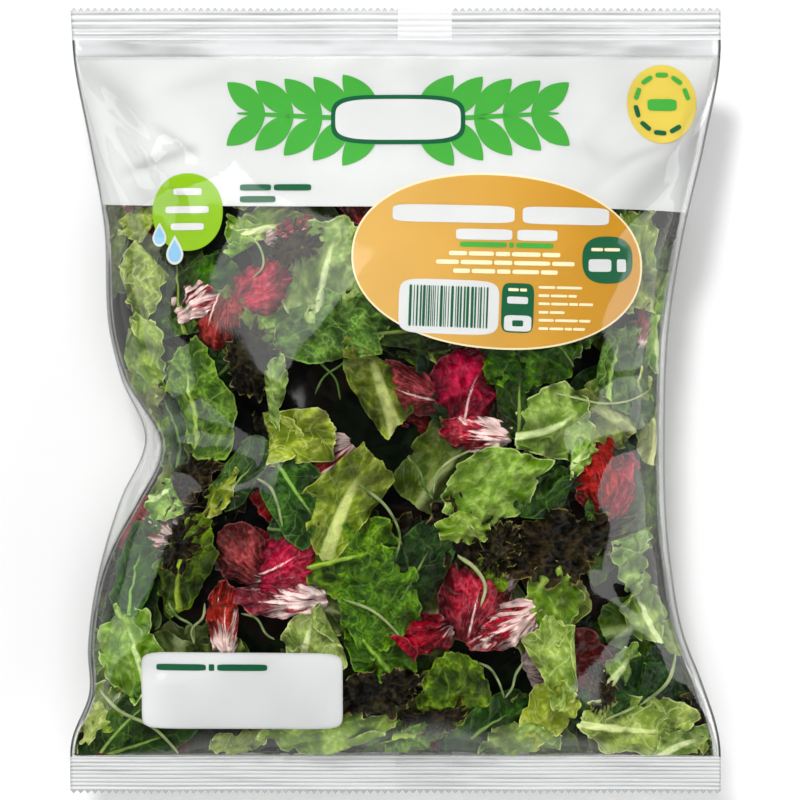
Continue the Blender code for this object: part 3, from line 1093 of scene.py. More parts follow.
@dataclass
class Film:
    """The whole bag's film as one closed skin, with its crimped seals and tooth-cut ends."""

    form: BagForm
    body_rows: int = 168
    low_seal_rows: int = 38
    seal_rows: int = 26
    crease_width: float = 0.00068
    crease_sides: tuple[float, float] = (1.2, 0.7)
    tooth_margin: float = 0.0006

    def row_places(self) -> np.ndarray:
        """Every row's y, from the bottom cut edge to the top one."""
        form = self.form
        low_foot = -form.length / 2 + form.tooth_depth + self.tooth_margin
        high_foot = form.length / 2 - form.tooth_depth - self.tooth_margin
        low = np.linspace(low_foot, form.bottom_line, self.low_seal_rows, endpoint=False)
        t = np.linspace(-1, 1, self.body_rows)
        t = 0.6 * t + 0.4 * np.sin(np.pi / 2 * t)
        body = (form.top_line + form.bottom_line) / 2 + t * (form.top_line - form.bottom_line) / 2
        high = np.linspace(form.top_line, high_foot, self.seal_rows + 1)[1:]
        return np.concatenate([[-form.length / 2], low, body, high, [form.length / 2]])

    def rib_relief(self, y: np.ndarray) -> np.ndarray:
        """The crimp's ribs across each seal: a sine of the share of the way through it, flattened."""
        form = self.form
        low = (form.bottom_line - y) / form.bottom_seal
        high = (y - form.top_line) / form.top_seal
        share = np.clip(np.maximum(low, high), 0, 1)
        ribs = np.where(y < 0, form.low_ribs, form.ribs)
        wave = np.sin(2 * np.pi * ribs * np.clip((share - 0.08) / 0.74, 0, 1))
        return form.rib_relief * form.ribs / ribs * np.sign(wave) * np.abs(wave) ** 0.7

    def build(self, film: bpy.types.Material, seal: bpy.types.Material) -> bpy.types.Object:
        """Makes the film's mesh: the front grid and the back grid, which share their side points.

        Args:
            film: the clear film's material.
            seal: the crimped seals' material.

        Returns:
            The film object.
        """
        form = self.form
        columns = 2 * form.teeth
        row_y = self.row_places()
        t, y = np.meshgrid(np.linspace(-1, 1, columns + 1), row_y)
        x, share = form.across(t, y)
        cut = np.arange(columns + 1) % 2 == 0
        y = y.copy()
        y[0, cut] += form.tooth_depth
        y[-1, cut] -= form.tooth_depth
        ribs = self.rib_relief(y)
        front = np.stack([x, y, form.front(x, share, y) + ribs], axis=-1)
        back = np.stack([x, y, form.back(x, share, y) + ribs], axis=-1)
        rows = len(row_y)
        middle = (front[:, [0, -1]] + back[:, [0, -1]]) / 2
        front[:, [0, -1]] = middle
        back[:, [0, -1]] = middle
        number = np.arange(rows * (columns + 1)).reshape(rows, columns + 1)
        under = number.size + np.arange(rows * (columns - 1)).reshape(rows, columns - 1)
        under = np.concatenate([number[:, :1], under, number[:, -1:]], axis=1)
        faces = [grid_faces(number), grid_faces(under)[:, ::-1]]
        for row, turn in ((0, 1), (-1, -1)):
            rim = np.stack([under[row, :-1], under[row, 1:], number[row, 1:], number[row, :-1]], axis=-1)
            faces.append(rim[1:-1, ::turn])
        points = np.concatenate([front.reshape(-1, 3), back[:, 1:-1].reshape(-1, 3)])
        quads = np.concatenate(faces)
        mesh = make_mesh("clear_film", points, quads)
        middle_y = points[quads, 1].mean(axis=1)
        sealed = (middle_y > form.top_line) | (middle_y < form.bottom_line)
        middle_x = points[quads, 0].mean(axis=1)
        finned = (middle_x > FIN[0]) & (middle_x < FIN[1])
        one_side = len(faces[0])
        sealed[one_side : 2 * one_side] |= finned[one_side : 2 * one_side]
        mesh.polygons.foreach_set("material_index", sealed.astype(np.int32))
        for name, values in self.side_marks(x, share, y).items():
            both = np.concatenate([values.ravel(), values[:, 1:-1].ravel()])
            mark = mesh.attributes.new(name, "FLOAT", "POINT")
            mark.data.foreach_set("value", both.astype(np.float32))
        piece = place_piece("clear_film", mesh, [film, seal])
        piece.visible_shadow = False
        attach(piece, BODY)
        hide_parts(NODE)
        return piece

    def side_marks(self, x: np.ndarray, share: np.ndarray, y: np.ndarray) -> dict[str, np.ndarray]:
        """What the finish reads near the sides: the rim, the empty pleat, and the painted shade line along
        the pleat.

        Args:
            x, share, y: the grid's places and shares across.

        Returns:
            The rim, 1 on the side fold; the pleat, 1 from the fold to its folded line and 0 inside; and the
            painted shade line, exp(-(d / w)^2) at a distance d from the pleat's line, fading toward the
            seals.
        """
        left, right = self.form.edges(y)
        gap_left, gap_right = self.form.side_gaps(y)
        inside = np.where(share < 0, x - left - gap_left, right - gap_right - x)
        filled = step_up(1 - np.abs(self.form.along(y)), 0.02, 0.12)
        below_band = 1 - step_up(y, 0.050, 0.068)
        strength = np.where(share < 0, *self.crease_sides) * filled * below_band
        patchy = 1.0 + 0.9 * SmoothNoise(31)(y / 0.016, share)
        # The painted shade line along the pleat, patchy and fading toward the seals.
        line = np.exp(-((inside / self.crease_width) ** 2)) * strength * np.clip(patchy, 0.6, 1)
        line = np.clip(line, 0, 1)
        return {"rim": np.abs(share), "pleat": 1 - step_up(inside, -0.0004, 0.0006), "crease_shade": line}


# ------------------------------------------------------------------------------
# The print
# ------------------------------------------------------------------------------


class Ink(Enum):
    """The printed colours, by slot in the print piece."""

    WHITE = 0
    GREEN = 1
    DARK_GREEN = 2
    LIME = 3
    YELLOW = 4
    ORANGE = 5
    BLUE = 6
    GREY = 7
    CREAM = 8


INK_FINISHES = {
    Ink.WHITE: InkFinish("white_ink", srgb(221, 222, 221)),
    Ink.GREEN: InkFinish("green_ink", srgb(78, 178, 70)),
    Ink.DARK_GREEN: InkFinish("dark_green_ink", srgb(22, 104, 66)),
    Ink.LIME: InkFinish("lime_ink", srgb(150, 196, 22)),
    Ink.YELLOW: InkFinish("yellow_ink", srgb(226, 206, 92)),
    Ink.ORANGE: InkFinish("orange_ink", srgb(222, 183, 100), right=srgb(206, 152, 22)),
    Ink.BLUE: InkFinish("blue_ink", srgb(150, 200, 226)),
    Ink.GREY: InkFinish("panel_ink", srgb(232, 233, 233)),
    Ink.CREAM: InkFinish("cream_ink", srgb(250, 236, 200)),
}


@dataclass
class Print:
    """The print on the film's inner side: a white band round the bag, and fields of colour on its front.

    Every field is a thin sheet that follows the film, each layer a little further in than the one before.
    Places and sizes are in millimetres from the bag's middle.
    """

    form: BagForm
    band_top: float = 126.5
    band_bottom: float = 70.5
    band_depth: float = 0.00036
    base_depth: float = 0.00028
    field_depth: float = 0.00020
    mark_depth: float = 0.00013
    fine_depth: float = 0.00008
    top_depth: float = 0.00004
    # Painted shade along the band's folds: start, end, width and strength of each.
    painted_fold_shades: tuple = (
        ((-0.120, 0.130), (-0.090, 0.100), 0.0050, 0.17),
        ((-0.102, 0.083), (-0.071, 0.093), 0.0020, 0.26),
        ((-0.090, 0.102), (-0.071, 0.089), 0.0016, 0.20),
        ((-0.118, 0.126), (-0.106, 0.066), 0.0040, 0.20),
        ((-0.098, 0.080), (-0.080, 0.066), 0.0030, 0.12),
        ((0.118, 0.108), (0.080, 0.062), 0.0060, 0.26),
        ((0.119, 0.124), (0.102, 0.060), 0.0036, 0.32),
        ((0.104, 0.096), (0.080, 0.086), 0.0018, 0.16),
        ((0.060, 0.096), (0.086, 0.084), 0.0030, 0.08),
        ((-0.060, 0.120), (-0.090, 0.112), 0.0030, 0.08),
    )

    def __post_init__(self) -> None:
        """Starts the piece that holds the fields."""
        self.batch = Batch("front_print")

    def sheet(self, x: np.ndarray, y: np.ndarray, ink: Ink, depth: float) -> None:
        """Adds a grid of places in millimetres as a printed sheet under the film."""
        points = self.form.front_point(x * MM, y * MM, depth)
        tone = np.ones((*x.shape, 4))
        self.batch.add(Patch(points, np.stack([x, y], axis=-1) / 10, tone, ink.value))

    def blob(
        self,
        ink: Ink,
        middle: tuple[float, float],
        half: tuple[float, float],
        power: float = 2.0,
        turn: float = 0.0,
        depth: float = 0.0,
        count: int = 25,
    ) -> None:
        """Adds a filled rounded shape: |x / a|^p + |y / b|^p = 1, an ellipse at 2 and nearly a box at 12.

        Args:
            ink: its colour.
            middle: its middle.
            half: its half-width and half-height.
            power: the p of the outline.
            turn: its turn in degrees.
            depth: its depth under the film, in metres.
            count: points along the grid's side.
        """
        ring, angle = disc_grid(count)
        size = rounded(angle, power)
        x = half[0] * ring * size * np.cos(angle)
        y = half[1] * ring * size * np.sin(angle)
        x, y = turned(x, y, turn)
        self.sheet(middle[0] + x, middle[1] + y, ink, depth or self.mark_depth)

    def bar(self, ink: Ink, left: float, right: float, y: float, height: float, turn: float = 0.0) -> None:
        """Adds one plain rounded bar, as stands for a word."""
        middle = ((left + right) / 2, y)
        self.blob(ink, middle, ((right - left) / 2, height / 2), 7.0, turn, self.fine_depth, 13)

    def words(
        self, ink: Ink, row: tuple[float, float, float], height: float, shares: tuple, turn: float = 0.0
    ) -> None:
        """Adds a row of bars of uneven length with gaps, between left and right, all at the same height.

        Args:
            ink: their colour.
            row: the row's left end, right end and y.
            height: the bars' height.
            shares: each bar's share of the row.
            turn: the row's slope in degrees.
        """
        left, right, y = row
        gap = 0.45 * height
        room = right - left - gap * (len(shares) - 1)
        slope = math.tan(math.radians(turn))
        at = left
        for share in shares:
            end = at + room * share / sum(shares)
            self.bar(ink, at, end, y + slope * ((at + end) / 2 - (left + right) / 2), height, turn)
            at = end + gap

    def leaf_mark(
        self, ink: Ink, foot: tuple[float, float], length: float, width: float, turn: float
    ) -> None:
        """Adds a plain pointed leaf shape: half-width w sin(pi s)^0.8 at a share s of its length."""
        s, t = np.meshgrid(np.linspace(0, 1, 19), np.linspace(-1, 1, 9), indexing="ij")
        half = width / 2 * np.sin(np.pi * np.clip(s, 0.002, 0.998)) ** 0.8
        x, y = turned(length * s, t * half, turn)
        self.sheet(foot[0] + x, foot[1] + y, ink, self.mark_depth)

    def drop_mark(self, middle: tuple[float, float], height: float) -> None:
        """Adds a water drop with a pale rim: a disc whose upper half is drawn up to a point."""
        ring, angle = disc_grid(21)
        for ink, size, depth in ((Ink.WHITE, 0.5, self.mark_depth), (Ink.BLUE, 0.37, self.fine_depth)):
            x = 0.62 * size * height * ring * np.cos(angle)
            up = ring * np.sin(angle)
            x = x * np.where(up > 0, 1 - 0.75 * np.clip(up, 0, 1) ** 1.5, 1)
            y = size * height * np.where(up > 0, 1.35 * up, 0.75 * up)
            self.sheet(middle[0] + x, middle[1] + y - 0.1 * height, ink, depth)

    def build_band(self, ink: bpy.types.Material) -> bpy.types.Object:
        """Makes the white band right round the bag: the film's own section, a little further in, with
        painted shade along its folds.

        Args:
            ink: the white ink's material.

        Returns:
            The band object.
        """
        form = self.form
        batch = Batch("white_band")
        t = np.linspace(-1, 1, 181)
        for depth, height, ways in ((self.band_depth, form.front, 1), (-self.band_depth, form.back, -1)):
            s, across = np.meshgrid(np.linspace(0, 1, 45), t, indexing="ij")
            low = (self.band_bottom + 1.6 * across**2 * np.sign(-across)) * MM
            y = low + (self.band_top * MM - low) * s
            x, share = form.across(across, y)
            inset = 1 - 0.0012 * np.abs(share) ** 3
            z = height(x * inset, share * inset, y) - depth * (1 + 1.2 * share**4)
            points = np.stack([x * inset, y, z], axis=-1)
            if ways < 0:
                points[:, [0, -1]] = batch.patches[0].points[:, [0, -1]]
                points = points[:, ::-1]
            tone = np.ones((*s.shape, 4))
            # Painted shade: the tone's red darkens the band along its folds.
            tone[..., 0] = 1 - np.clip(form.ridges(x, y, self.painted_fold_shades), 0, 0.5)
            if ways < 0:
                tone = tone[:, ::-1]
            batch.add(Patch(points, np.stack([across, s], axis=-1), tone))
        piece = batch.build([ink])
        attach(piece, BODY)
        return piece

    def add_sprig(self) -> None:
        """A plain green sprig across the band: two branches of paired leaves, and a blank banner."""
        for side in (-1, 1):
            for k in range(5):
                foot = (1.0 + side * (7 + 10.4 * k), 102.5 + 0.6 * k)
                for way in (-1, 1):
                    turn = way * (52 - 3 * k)
                    turn = turn if side > 0 else 180 - turn
                    self.leaf_mark(Ink.GREEN, foot, 21.5 - 0.8 * k, 9.6 - 0.3 * k, turn)
            self.blob(Ink.GREEN, (1.0 + side * 30, 103.6), (29, 0.9), 2.6, side * 3.0)
        self.blob(Ink.DARK_GREEN, (1.0, 102.6), (24.5, 9.2), 4.0, 0.0, self.fine_depth, 25)
        self.blob(Ink.WHITE, (1.0, 102.6), (22.9, 7.6), 4.0, 0.0, self.top_depth, 25)

    def add_badges(self) -> None:
        """The lime spot with its drops, the yellow spot and the short dark line of words between."""
        self.blob(Ink.LIME, (-75.9, 68.8), (13.0, 14.2), 2.1, 0.0, self.base_depth, 41)
        for y, left, right in ((76.2, -81.0, -70.6), (69.6, -84.0, -68.0), (63.4, -82.0, -69.8)):
            self.words(Ink.WHITE, (left, right, y), 2.6, (1.0,))
        self.drop_mark((-86.2, 60.2), 8.4)
        self.drop_mark((-80.5, 54.4), 10.2)
        self.blob(Ink.YELLOW, (98.0, 109.0), (12.9, 14.6), 2.0, 0.0, self.base_depth, 41)
        for k in range(9):
            angle = math.radians(20 + 35 * k)
            place = (98.0 + 9.6 * math.cos(angle), 109.0 + 10.8 * math.sin(angle))
            ink = Ink.GREEN if math.sin(angle) > 0 else Ink.DARK_GREEN
            self.blob(ink, place, (2.3, 0.9), 4.0, math.degrees(angle) - 90, self.fine_depth, 9)
        self.blob(Ink.GREEN, (98.0, 108.6), (5.4, 2.2), 5.0, 0.0, self.fine_depth, 11)
        self.words(Ink.DARK_GREEN, (-56.6, -30.6, 77.6), 2.3, (5, 6))
        self.words(Ink.DARK_GREEN, (-56.6, -43.6, 73.3), 2.3, (5,))

    def add_oval(self) -> None:
        """The orange oval with its rows of words, its bar code and its small labels."""
        tilt = -4.0
        self.blob(Ink.CREAM, (37.2, 50.6), (53.2, 32.0), 2.15, tilt, self.base_depth, 85)
        self.blob(Ink.ORANGE, (37.2, 50.6), (52.5, 31.3), 2.15, tilt, self.field_depth, 85)
        self.words(Ink.WHITE, (-1.0, 78.0, 67.6), 6.4, (7, 5), -1.0)
        self.words(Ink.WHITE, (22.0, 59.0, 60.2), 4.0, (7, 5), -1.0)
        self.words(Ink.GREEN, (23.5, 57.5, 56.5), 1.9, (10, 1, 8), -1.0)
        for y, left, right in ((53.2, 19.5, 60.0), (50.0, 14.8, 65.2), (46.8, 21.0, 59.0)):
            self.words(Ink.CREAM, (left, right, y), 1.6, (5, 7, 4, 8, 5), -1.0)
        self.blob(Ink.WHITE, (19.4, 34.0), (18.2, 9.9), 6.0, -2.0, self.mark_depth, 35)
        self.add_bar_code((4.9, 34.6), 29.0, 15.0)
        self.blob(Ink.DARK_GREEN, (44.4, 33.6), (5.9, 9.0), 6.0, -2.0, self.mark_depth, 15)
        self.blob(Ink.WHITE, (44.4, 28.0), (5.0, 2.9), 6.0, -2.0, self.fine_depth, 11)
        self.words(Ink.WHITE, (40.6, 48.2, 36.4), 2.6, (1,), -2.0)
        self.words(Ink.CREAM, (41.0, 47.8, 40.2), 1.1, (3, 2), -2.0)
        self.words(Ink.DARK_GREEN, (42.4, 46.4, 28.0), 2.2, (1,), -2.0)
        for k in range(6):
            right = (68.0, 66.0, 72.0, 61.5, 71.0, 69.0)[k]
            self.words(Ink.CREAM, (52.0, right, 41.0 - 3.0 * k), 1.0, (4, 6, 3, 5)[: 2 + k % 3], -1.0)
        self.blob(Ink.DARK_GREEN, (77.4, 51.2), (9.3, 8.6), 2.6, 0.0, self.mark_depth, 35)
        self.words(Ink.WHITE, (70.4, 84.2, 49.2), 4.6, (5, 2))
        self.words(Ink.CREAM, (71.4, 82.0, 55.0), 1.2, (3, 4))

    def add_bar_code(self, corner: tuple[float, float], width: float, height: float) -> None:
        """Adds upright bars of uneven width and spacing, which say nothing.

        Args:
            corner: the left end of the row's middle line.
            width: the row's width.
            height: the bars' height.
        """
        draw = np.random.default_rng(5)
        at = corner[0]
        while at < corner[0] + width:
            bar = 0.33 * draw.integers(1, 4)
            middle = (at + bar / 2, corner[1] - 0.035 * (at - corner[0]))
            self.blob(Ink.DARK_GREEN, middle, (bar / 2, height / 2), 12.0, -2.0, self.fine_depth, 7)
            at += bar + 0.33 * draw.integers(1, 3)

    def add_panel(self) -> None:
        """The pale panel low on the left, with one short row of words."""
        self.blob(Ink.WHITE, (-56.2, -106.4), (37.0, 14.3), 11.0, 0.0, self.base_depth, 37)
        self.blob(Ink.GREY, (-56.2, -106.4), (36.4, 13.7), 11.0, 0.0, self.field_depth, 37)
        self.words(Ink.DARK_GREEN, (-87.6, -46.8, -97.6), 2.4, (9, 1, 9))

    def build(self) -> list[bpy.types.Object]:
        """Makes the band and the fields of colour.

        Returns:
            The band object and the object that holds all the fields.
        """
        inks = [INK_FINISHES[ink].build() for ink in Ink]
        band = self.build_band(inks[Ink.WHITE.value])
        self.add_sprig()
        self.add_badges()
        self.add_oval()
        self.add_panel()
        fields = self.batch.build(inks)
        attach(fields, BODY)
        return [band, fields]


# ------------------------------------------------------------------------------
# The leaves
# ------------------------------------------------------------------------------


@dataclass(frozen=True)
class LeafForm:
    """How a kind of leaf is cut and shaped. Heights and pitches are in millimetres, the rest are shares."""

    power: float = 2.3
    cuts: int = 5
    cut_near: float = 0.66
    ragged: float = 0.05
    ragged_count: float = 7.0
    frill: float = 1.2
    frill_count: float = 9.0
    crumple: float = 0.9
    crumple_pitch: float = 9.0
    puff: float = 0.5
    puff_pitch: float = 5.0
    rib: float = 0.8
    rib_width: float = 1.6
    taper: float = 0.2
    cup: float = 1.0
    fan: float = 0.0
    ribbed: float = 0.3
    arch: float = 1.6
    # The strength of the painted shade that sweeps from light to dark across each leaf.
    shade: float = 0.75
    folded: float = 0.0
    count: int = 45


@dataclass(frozen=True)
class Leaf:
    """One leaf: where it lies, how it is turned and how large it is, in millimetres and degrees."""

    x: float
    y: float
    turn: float
    length: float
    width: float
    depth: float = 1.5
    seed: int = 0
    tone: float = 0.5
    slope: tuple[float, float] = (0.0, 0.0)
    bend: float = 0.0
    fold: tuple[float, float] | None = None
    dome: float = 0.0
    pale: float = 0.0
    around: bool = False


@dataclass
class LeafMaker:
    """Turns leaves into patches laid in the bag. Each leaf's tone carries painted shade: what lies deep, or
    at a side, is painted darker, the hollows of its relief darker and its crests lighter, and a broad
    painted shade sweeps across it.
    """

    space: LeafSpace
    lit_depth: float = 1.4
    shade_depth: float = 0.075
    side_shade: float = 0.30
    side_reach: tuple[float, float] = (0.0015, 0.0060)

    def outline(
        self, form: LeafForm, leaf: Leaf, angle: np.ndarray, rng: np.random.Generator
    ) -> np.ndarray:
        """The leaf's outline as a radius for each angle: a rounded box, cut by lines, and ragged.

        Args:
            form: the kind's form.
            leaf: the leaf.
            angle: angles about the leaf's middle.
            rng: the leaf's own draw.

        Returns:
            The radius: the least of (|cos|^p + |sin|^p)^(-1/p) and each cut's d / cos(angle - facing), with
            smooth noise round the edge.
        """
        size = rounded(angle, form.power)
        cuts = []
        for k in range(form.cuts):
            facing = 360 * (k + rng.uniform(-0.35, 0.35)) / form.cuts + 40
            cuts.append((facing, rng.uniform(form.cut_near, 1.08)))
        for facing, near in cuts:
            toward = np.cos(angle - math.radians(facing))
            size = np.minimum(size, near / np.maximum(toward, 0.05))
        edge = SmoothNoise(leaf.seed + 91)
        k = form.ragged_count / 3
        wobble = edge(k * np.cos(angle) + 20, k * np.sin(angle) + 20)
        teeth = edge(3.5 * k * np.cos(angle) + 40, 3.5 * k * np.sin(angle) + 40)
        nicks = edge(9 * k * np.cos(angle) + 60, 9 * k * np.sin(angle) + 60)
        return size * (1 + form.ragged * (2.6 * wobble + 0.7 * teeth + 0.4 * nicks))

    def relief(
        self,
        form: LeafForm,
        leaf: Leaf,
        ring: np.ndarray,
        angle: np.ndarray,
        x: np.ndarray,
        y: np.ndarray,
        ribbed: float,
    ) -> np.ndarray:
        """The leaf's own height in millimetres: cup, rib, side veins, puffs, crumples, fan folds and frill.

        Args:
            form: the kind's form.
            leaf: the leaf.
            ring, angle: the disc grid's ring share and angle.
            x, y: places along the leaf and aside from its rib, in millimetres.
            ribbed: 1 if the leaf shows its rib, else 0.

        Returns:
            The height: cup * ring^2, less the rib's and veins' grooves, plus noise puffs between them, plus
            noise crumples, plus folds that fan out from the foot, plus a margin wave that grows as ring^4.
        """
        hills = SmoothNoise(leaf.seed + 17)
        height = form.cup * ring**2 * (0.5 + hills(x / 30 + 5, y / 30 + 5))
        away = np.abs(y) / form.rib_width
        height += ribbed * form.rib * np.exp(-(away**2)) * step_up(-x / (0.5 * leaf.length), -1.0, 0.4)
        lines = np.abs(((x - 0.9 * np.abs(y)) / (1.9 * form.puff_pitch) + 0.5 * (y > 0)) % 1 - 0.5) * 2
        height += form.puff * (0.9 * lines - 0.5) * step_up(away, 0.8, 2.5)
        cells = hills(x / form.puff_pitch + 31, y / form.puff_pitch + 31)
        height += 1.4 * form.puff * (0.35 - np.abs(cells) * 2)
        folds = hills(x / form.crumple_pitch + 3, y / form.crumple_pitch + 3)
        height += form.crumple * (1 - 2.6 * np.abs(folds))
        small = hills(x / (0.45 * form.crumple_pitch) + 61, y / (0.45 * form.crumple_pitch) + 61)
        height += 0.45 * form.crumple * (0.5 - 2.2 * np.abs(small))
        fan = np.arctan2(y, x + 0.56 * leaf.length)
        reach = np.hypot(y, x + 0.56 * leaf.length) / leaf.length
        height += form.fan * hills(9 * fan + 70, 1.5 * reach + 70) * step_up(reach, 0.05, 0.35)
        wave = np.sin(form.frill_count * angle + 4 * hills(2 * np.cos(angle) + 50, 2 * np.sin(angle) + 50))
        return height + form.frill * ring**4 * wave

    def make(self, form: LeafForm, leaf: Leaf) -> Patch:
        """Makes one leaf.

        Args:
            form: the kind's form.
            leaf: the leaf.

        Returns:
            The patch: a disc grid stretched to the outline, bent, folded, turned and laid under the film.
        """
        rng = np.random.default_rng(leaf.seed + 1000)
        ring, angle = disc_grid(form.count)
        size = self.outline(form, leaf, angle, rng)
        along = ring * size * np.cos(angle)
        aside = ring * size * np.sin(angle) * (1 - form.taper * (0.5 - 0.5 * along))
        x, y = leaf.length / 2 * along, leaf.width / 2 * aside
        ribbed = float(rng.random() < form.ribbed)
        shift, bow = rng.uniform(-0.2, 0.2, 2) * leaf.width * (0.4 + 0.6 * (1 - form.ribbed))
        off_rib = y - shift - bow * along**2
        height = self.relief(form, leaf, ring, angle, x, off_rib, ribbed) - leaf.dome * ring**2
        rib_half = form.rib_width * (0.45 + 0.55 * step_up(-along, -0.9, 0.9))
        rib = np.exp(-((off_rib / rib_half) ** 4)) * step_up(-along, -0.75, 0.2) * ribbed
        flat = np.stack([x, off_rib], axis=-1) / 10
        if form.fan > 0:
            foot = x + 0.56 * leaf.length
            flat = np.stack([np.hypot(foot, y), 20 * np.arctan2(y, foot)], axis=-1) / 10
        # Painted shade and light: the hollows of the leaf's own relief darker, its crests lighter.
        hollow = np.clip(0.15 * (height - height.mean()), -0.4, 0.3)
        slope = rng.uniform(-1.3, 1.3, 2) + leaf.slope
        height = height + slope[0] * along + slope[1] * aside - form.arch * ring**2
        y = y + leaf.bend * along**2
        facing, near, chance = rng.uniform(0, 360), rng.uniform(0.22, 0.34), rng.random()
        fold = leaf.fold
        if fold is None and chance < form.folded:
            fold = (facing, near * min(leaf.length, leaf.width))
        if fold is not None:
            x, y, height = self.fold_over(fold, x, y, height)
        # Painted shade: a broad sweep from light to dark across the leaf, scaled by the form's shade.
        cloud = SmoothNoise(leaf.seed + 53)(x / 17 + 8, y / 17 + 8)
        x, y = turned(x, y, leaf.turn)
        middle = leaf.x * MM if leaf.around else self.space.around(leaf.x * MM, leaf.y * MM)
        around, up = middle + x * MM, leaf.y * MM + y * MM
        depth = leaf.depth + 1.1 - height
        points = self.space.lay(around, up, depth * MM)
        left, right = self.space.form.edges(points[..., 1])
        from_side = np.minimum(points[..., 0] - left, right - points[..., 0])
        # Painted shade: darker the deeper the leaf lies under the film, and near the bag's sides.
        shaded = self.shade_depth * np.clip(depth - self.lit_depth, -1, 4)
        shaded += self.side_shade * (1 - step_up(from_side, *self.side_reach))
        own = np.clip(leaf.tone + hollow + form.shade * cloud - shaded, 0, 1)
        lengthwise = (along / 2 + 0.5) * (1 - leaf.pale) + max(-leaf.pale, 0) / 2
        tone = np.stack([own, rib, ring, np.clip(lengthwise, 0, 1)], axis=-1)
        return Patch(points, flat, tone, tint=rng.random())

    @staticmethod
    def fold_over(fold: tuple[float, float], x: np.ndarray, y: np.ndarray, height: np.ndarray) -> tuple:
        """Folds the leaf back over itself past a line.

        Args:
            fold: the way the fold faces in degrees, and how far from the middle it lies in millimetres.
            x, y, height: the leaf's points.

        Returns:
            The folded points: past the line they go round a half-turn of 1.1 mm radius, then run back.
        """
        radius = 1.1
        facing = math.radians(fold[0])
        reach = x * math.cos(facing) + y * math.sin(facing)
        past = np.maximum(reach - fold[1], 0)
        turn = np.minimum(past / radius, np.pi)
        back = np.maximum(past - np.pi * radius, 0)
        shift = np.where(past > 0, radius * np.sin(turn) - back - past, 0)
        rise = radius * (1 - np.cos(turn))
        flipped = np.where(turn > np.pi / 2, -1, 1)
        return x + shift * math.cos(facing), y + shift * math.sin(facing), height * flipped + rise


@dataclass(frozen=True)
class Stalk:
    """A thin stem or vein piece: its points across and up the bag in millimetres, and its thickness."""

    path: tuple
    thick: float = 1.1
    end_thick: float = 0.7
    depth: float = 0.8
    tone: float = 0.5


class Kind(Enum):
    """The kinds of leaf in the bag."""

    LETTUCE = "pale_lettuce"
    BATAVIA = "crinkled_lettuce"
    ESCAROLE = "ribbed_endive"
    SPINACH = "dark_green_leaf"
    RED = "red_leaf"
    FRILL = "brown_frill_leaf"


FORMS = {
    Kind.LETTUCE: LeafForm(
        power=2.8, cuts=6, ragged=0.07, crumple=1.9, crumple_pitch=10.0, puff=0.6, frill=1.8,
        rib=0.8, ribbed=0.35, taper=0.1, folded=0.45, count=40,
    ),
    Kind.BATAVIA: LeafForm(
        power=2.6, cuts=5, ragged=0.07, puff=1.1, puff_pitch=4.4, crumple=1.4, crumple_pitch=12.0,
        frill=1.8, rib_width=1.2, ribbed=0.4, taper=0.1, folded=0.3,
    ),
    Kind.ESCAROLE: LeafForm(
        rib=1.8, rib_width=2.8, cuts=4, puff=0.5, frill=2.0, taper=-0.25, crumple=1.1, ragged=0.06,
        ribbed=0.9, folded=0.25,
    ),
    Kind.SPINACH: LeafForm(
        cuts=2, cut_near=0.8, ragged=0.03, frill=0.9, puff=0.4, crumple=1.1, rib_width=0.7, rib=0.6,
        ribbed=0.8, folded=0.2,
    ),
    Kind.RED: LeafForm(
        cuts=3, cut_near=0.75, ragged=0.05, crumple=2.0, crumple_pitch=7.5, puff=0.25, frill=1.2,
        rib=0.3, rib_width=0.5, cup=-0.8, fan=2.2, ribbed=0.6, shade=0.2,
    ),
    Kind.FRILL: LeafForm(
        ragged=0.16, ragged_count=14, frill=3.0, frill_count=17, crumple=2.6, crumple_pitch=6.0,
        puff=0.8, puff_pitch=3.0, ribbed=0.1,
    ),
}

FINISHES = {
    Kind.LETTUCE: LeafFinish(
        "pale_lettuce", srgb(76, 102, 20), srgb(130, 153, 64), srgb(168, 184, 108), srgb(198, 208, 152),
        srgb(192, 203, 138), vein_and_shade_share=0.4, net_share=0.08, vein_spacing=1.1, margin_and_highlight_share=0.6,
        vein_width=0.05,
    ),
    Kind.BATAVIA: LeafFinish(
        "crinkled_lettuce", srgb(30, 62, 6), srgb(66, 107, 18), srgb(114, 153, 44), srgb(152, 184, 84),
        srgb(132, 168, 66), vein_and_shade_share=0.28, net_share=0.08, mottle=1.5, roughness=0.36, margin_and_highlight_share=0.5,
        dark_veined=0.3,
    ),
    Kind.ESCAROLE: LeafFinish(
        "ribbed_endive", srgb(62, 90, 14), srgb(110, 136, 44), srgb(150, 170, 84), srgb(166, 180, 118),
        srgb(164, 182, 98), vein_and_shade_share=0.38, net_share=0.07, margin_and_highlight_share=0.5, vein_width=0.05,
    ),
    Kind.SPINACH: LeafFinish(
        "dark_green_leaf", srgb(12, 34, 8), srgb(34, 70, 18), srgb(68, 107, 36), srgb(136, 168, 88),
        srgb(84, 124, 50), vein_and_shade_share=0.3, net_share=0.05, vein_spacing=0.8, vein_width=0.04,
        roughness=0.34, margin_and_highlight_share=0.45, crest_highlight_share=0.28, dark_veined=0.0,
    ),
    Kind.RED: LeafFinish(
        "red_leaf", srgb(76, 4, 8), srgb(144, 16, 26), srgb(192, 76, 84), srgb(236, 212, 206),
        srgb(204, 110, 114), vein_and_shade_share=0.08, net_share=0.0, roughness=0.3, streaks=0.95, spread=0.6,
        hue_range=0.02, puff_shade_share=0.4, crest_highlight_share=0.22,
    ),
    Kind.FRILL: LeafFinish(
        "brown_frill_leaf", srgb(5, 3, 3), srgb(22, 12, 9), srgb(66, 56, 26), srgb(110, 104, 52),
        srgb(132, 122, 70), vein_and_shade_share=0.1, net_share=0.06, mottle=1.4, roughness=0.34, spread=0.6,
        margin_and_highlight_share=0.9, crest_highlight_share=0.5, puff_shade_share=0.6,
    ),
}


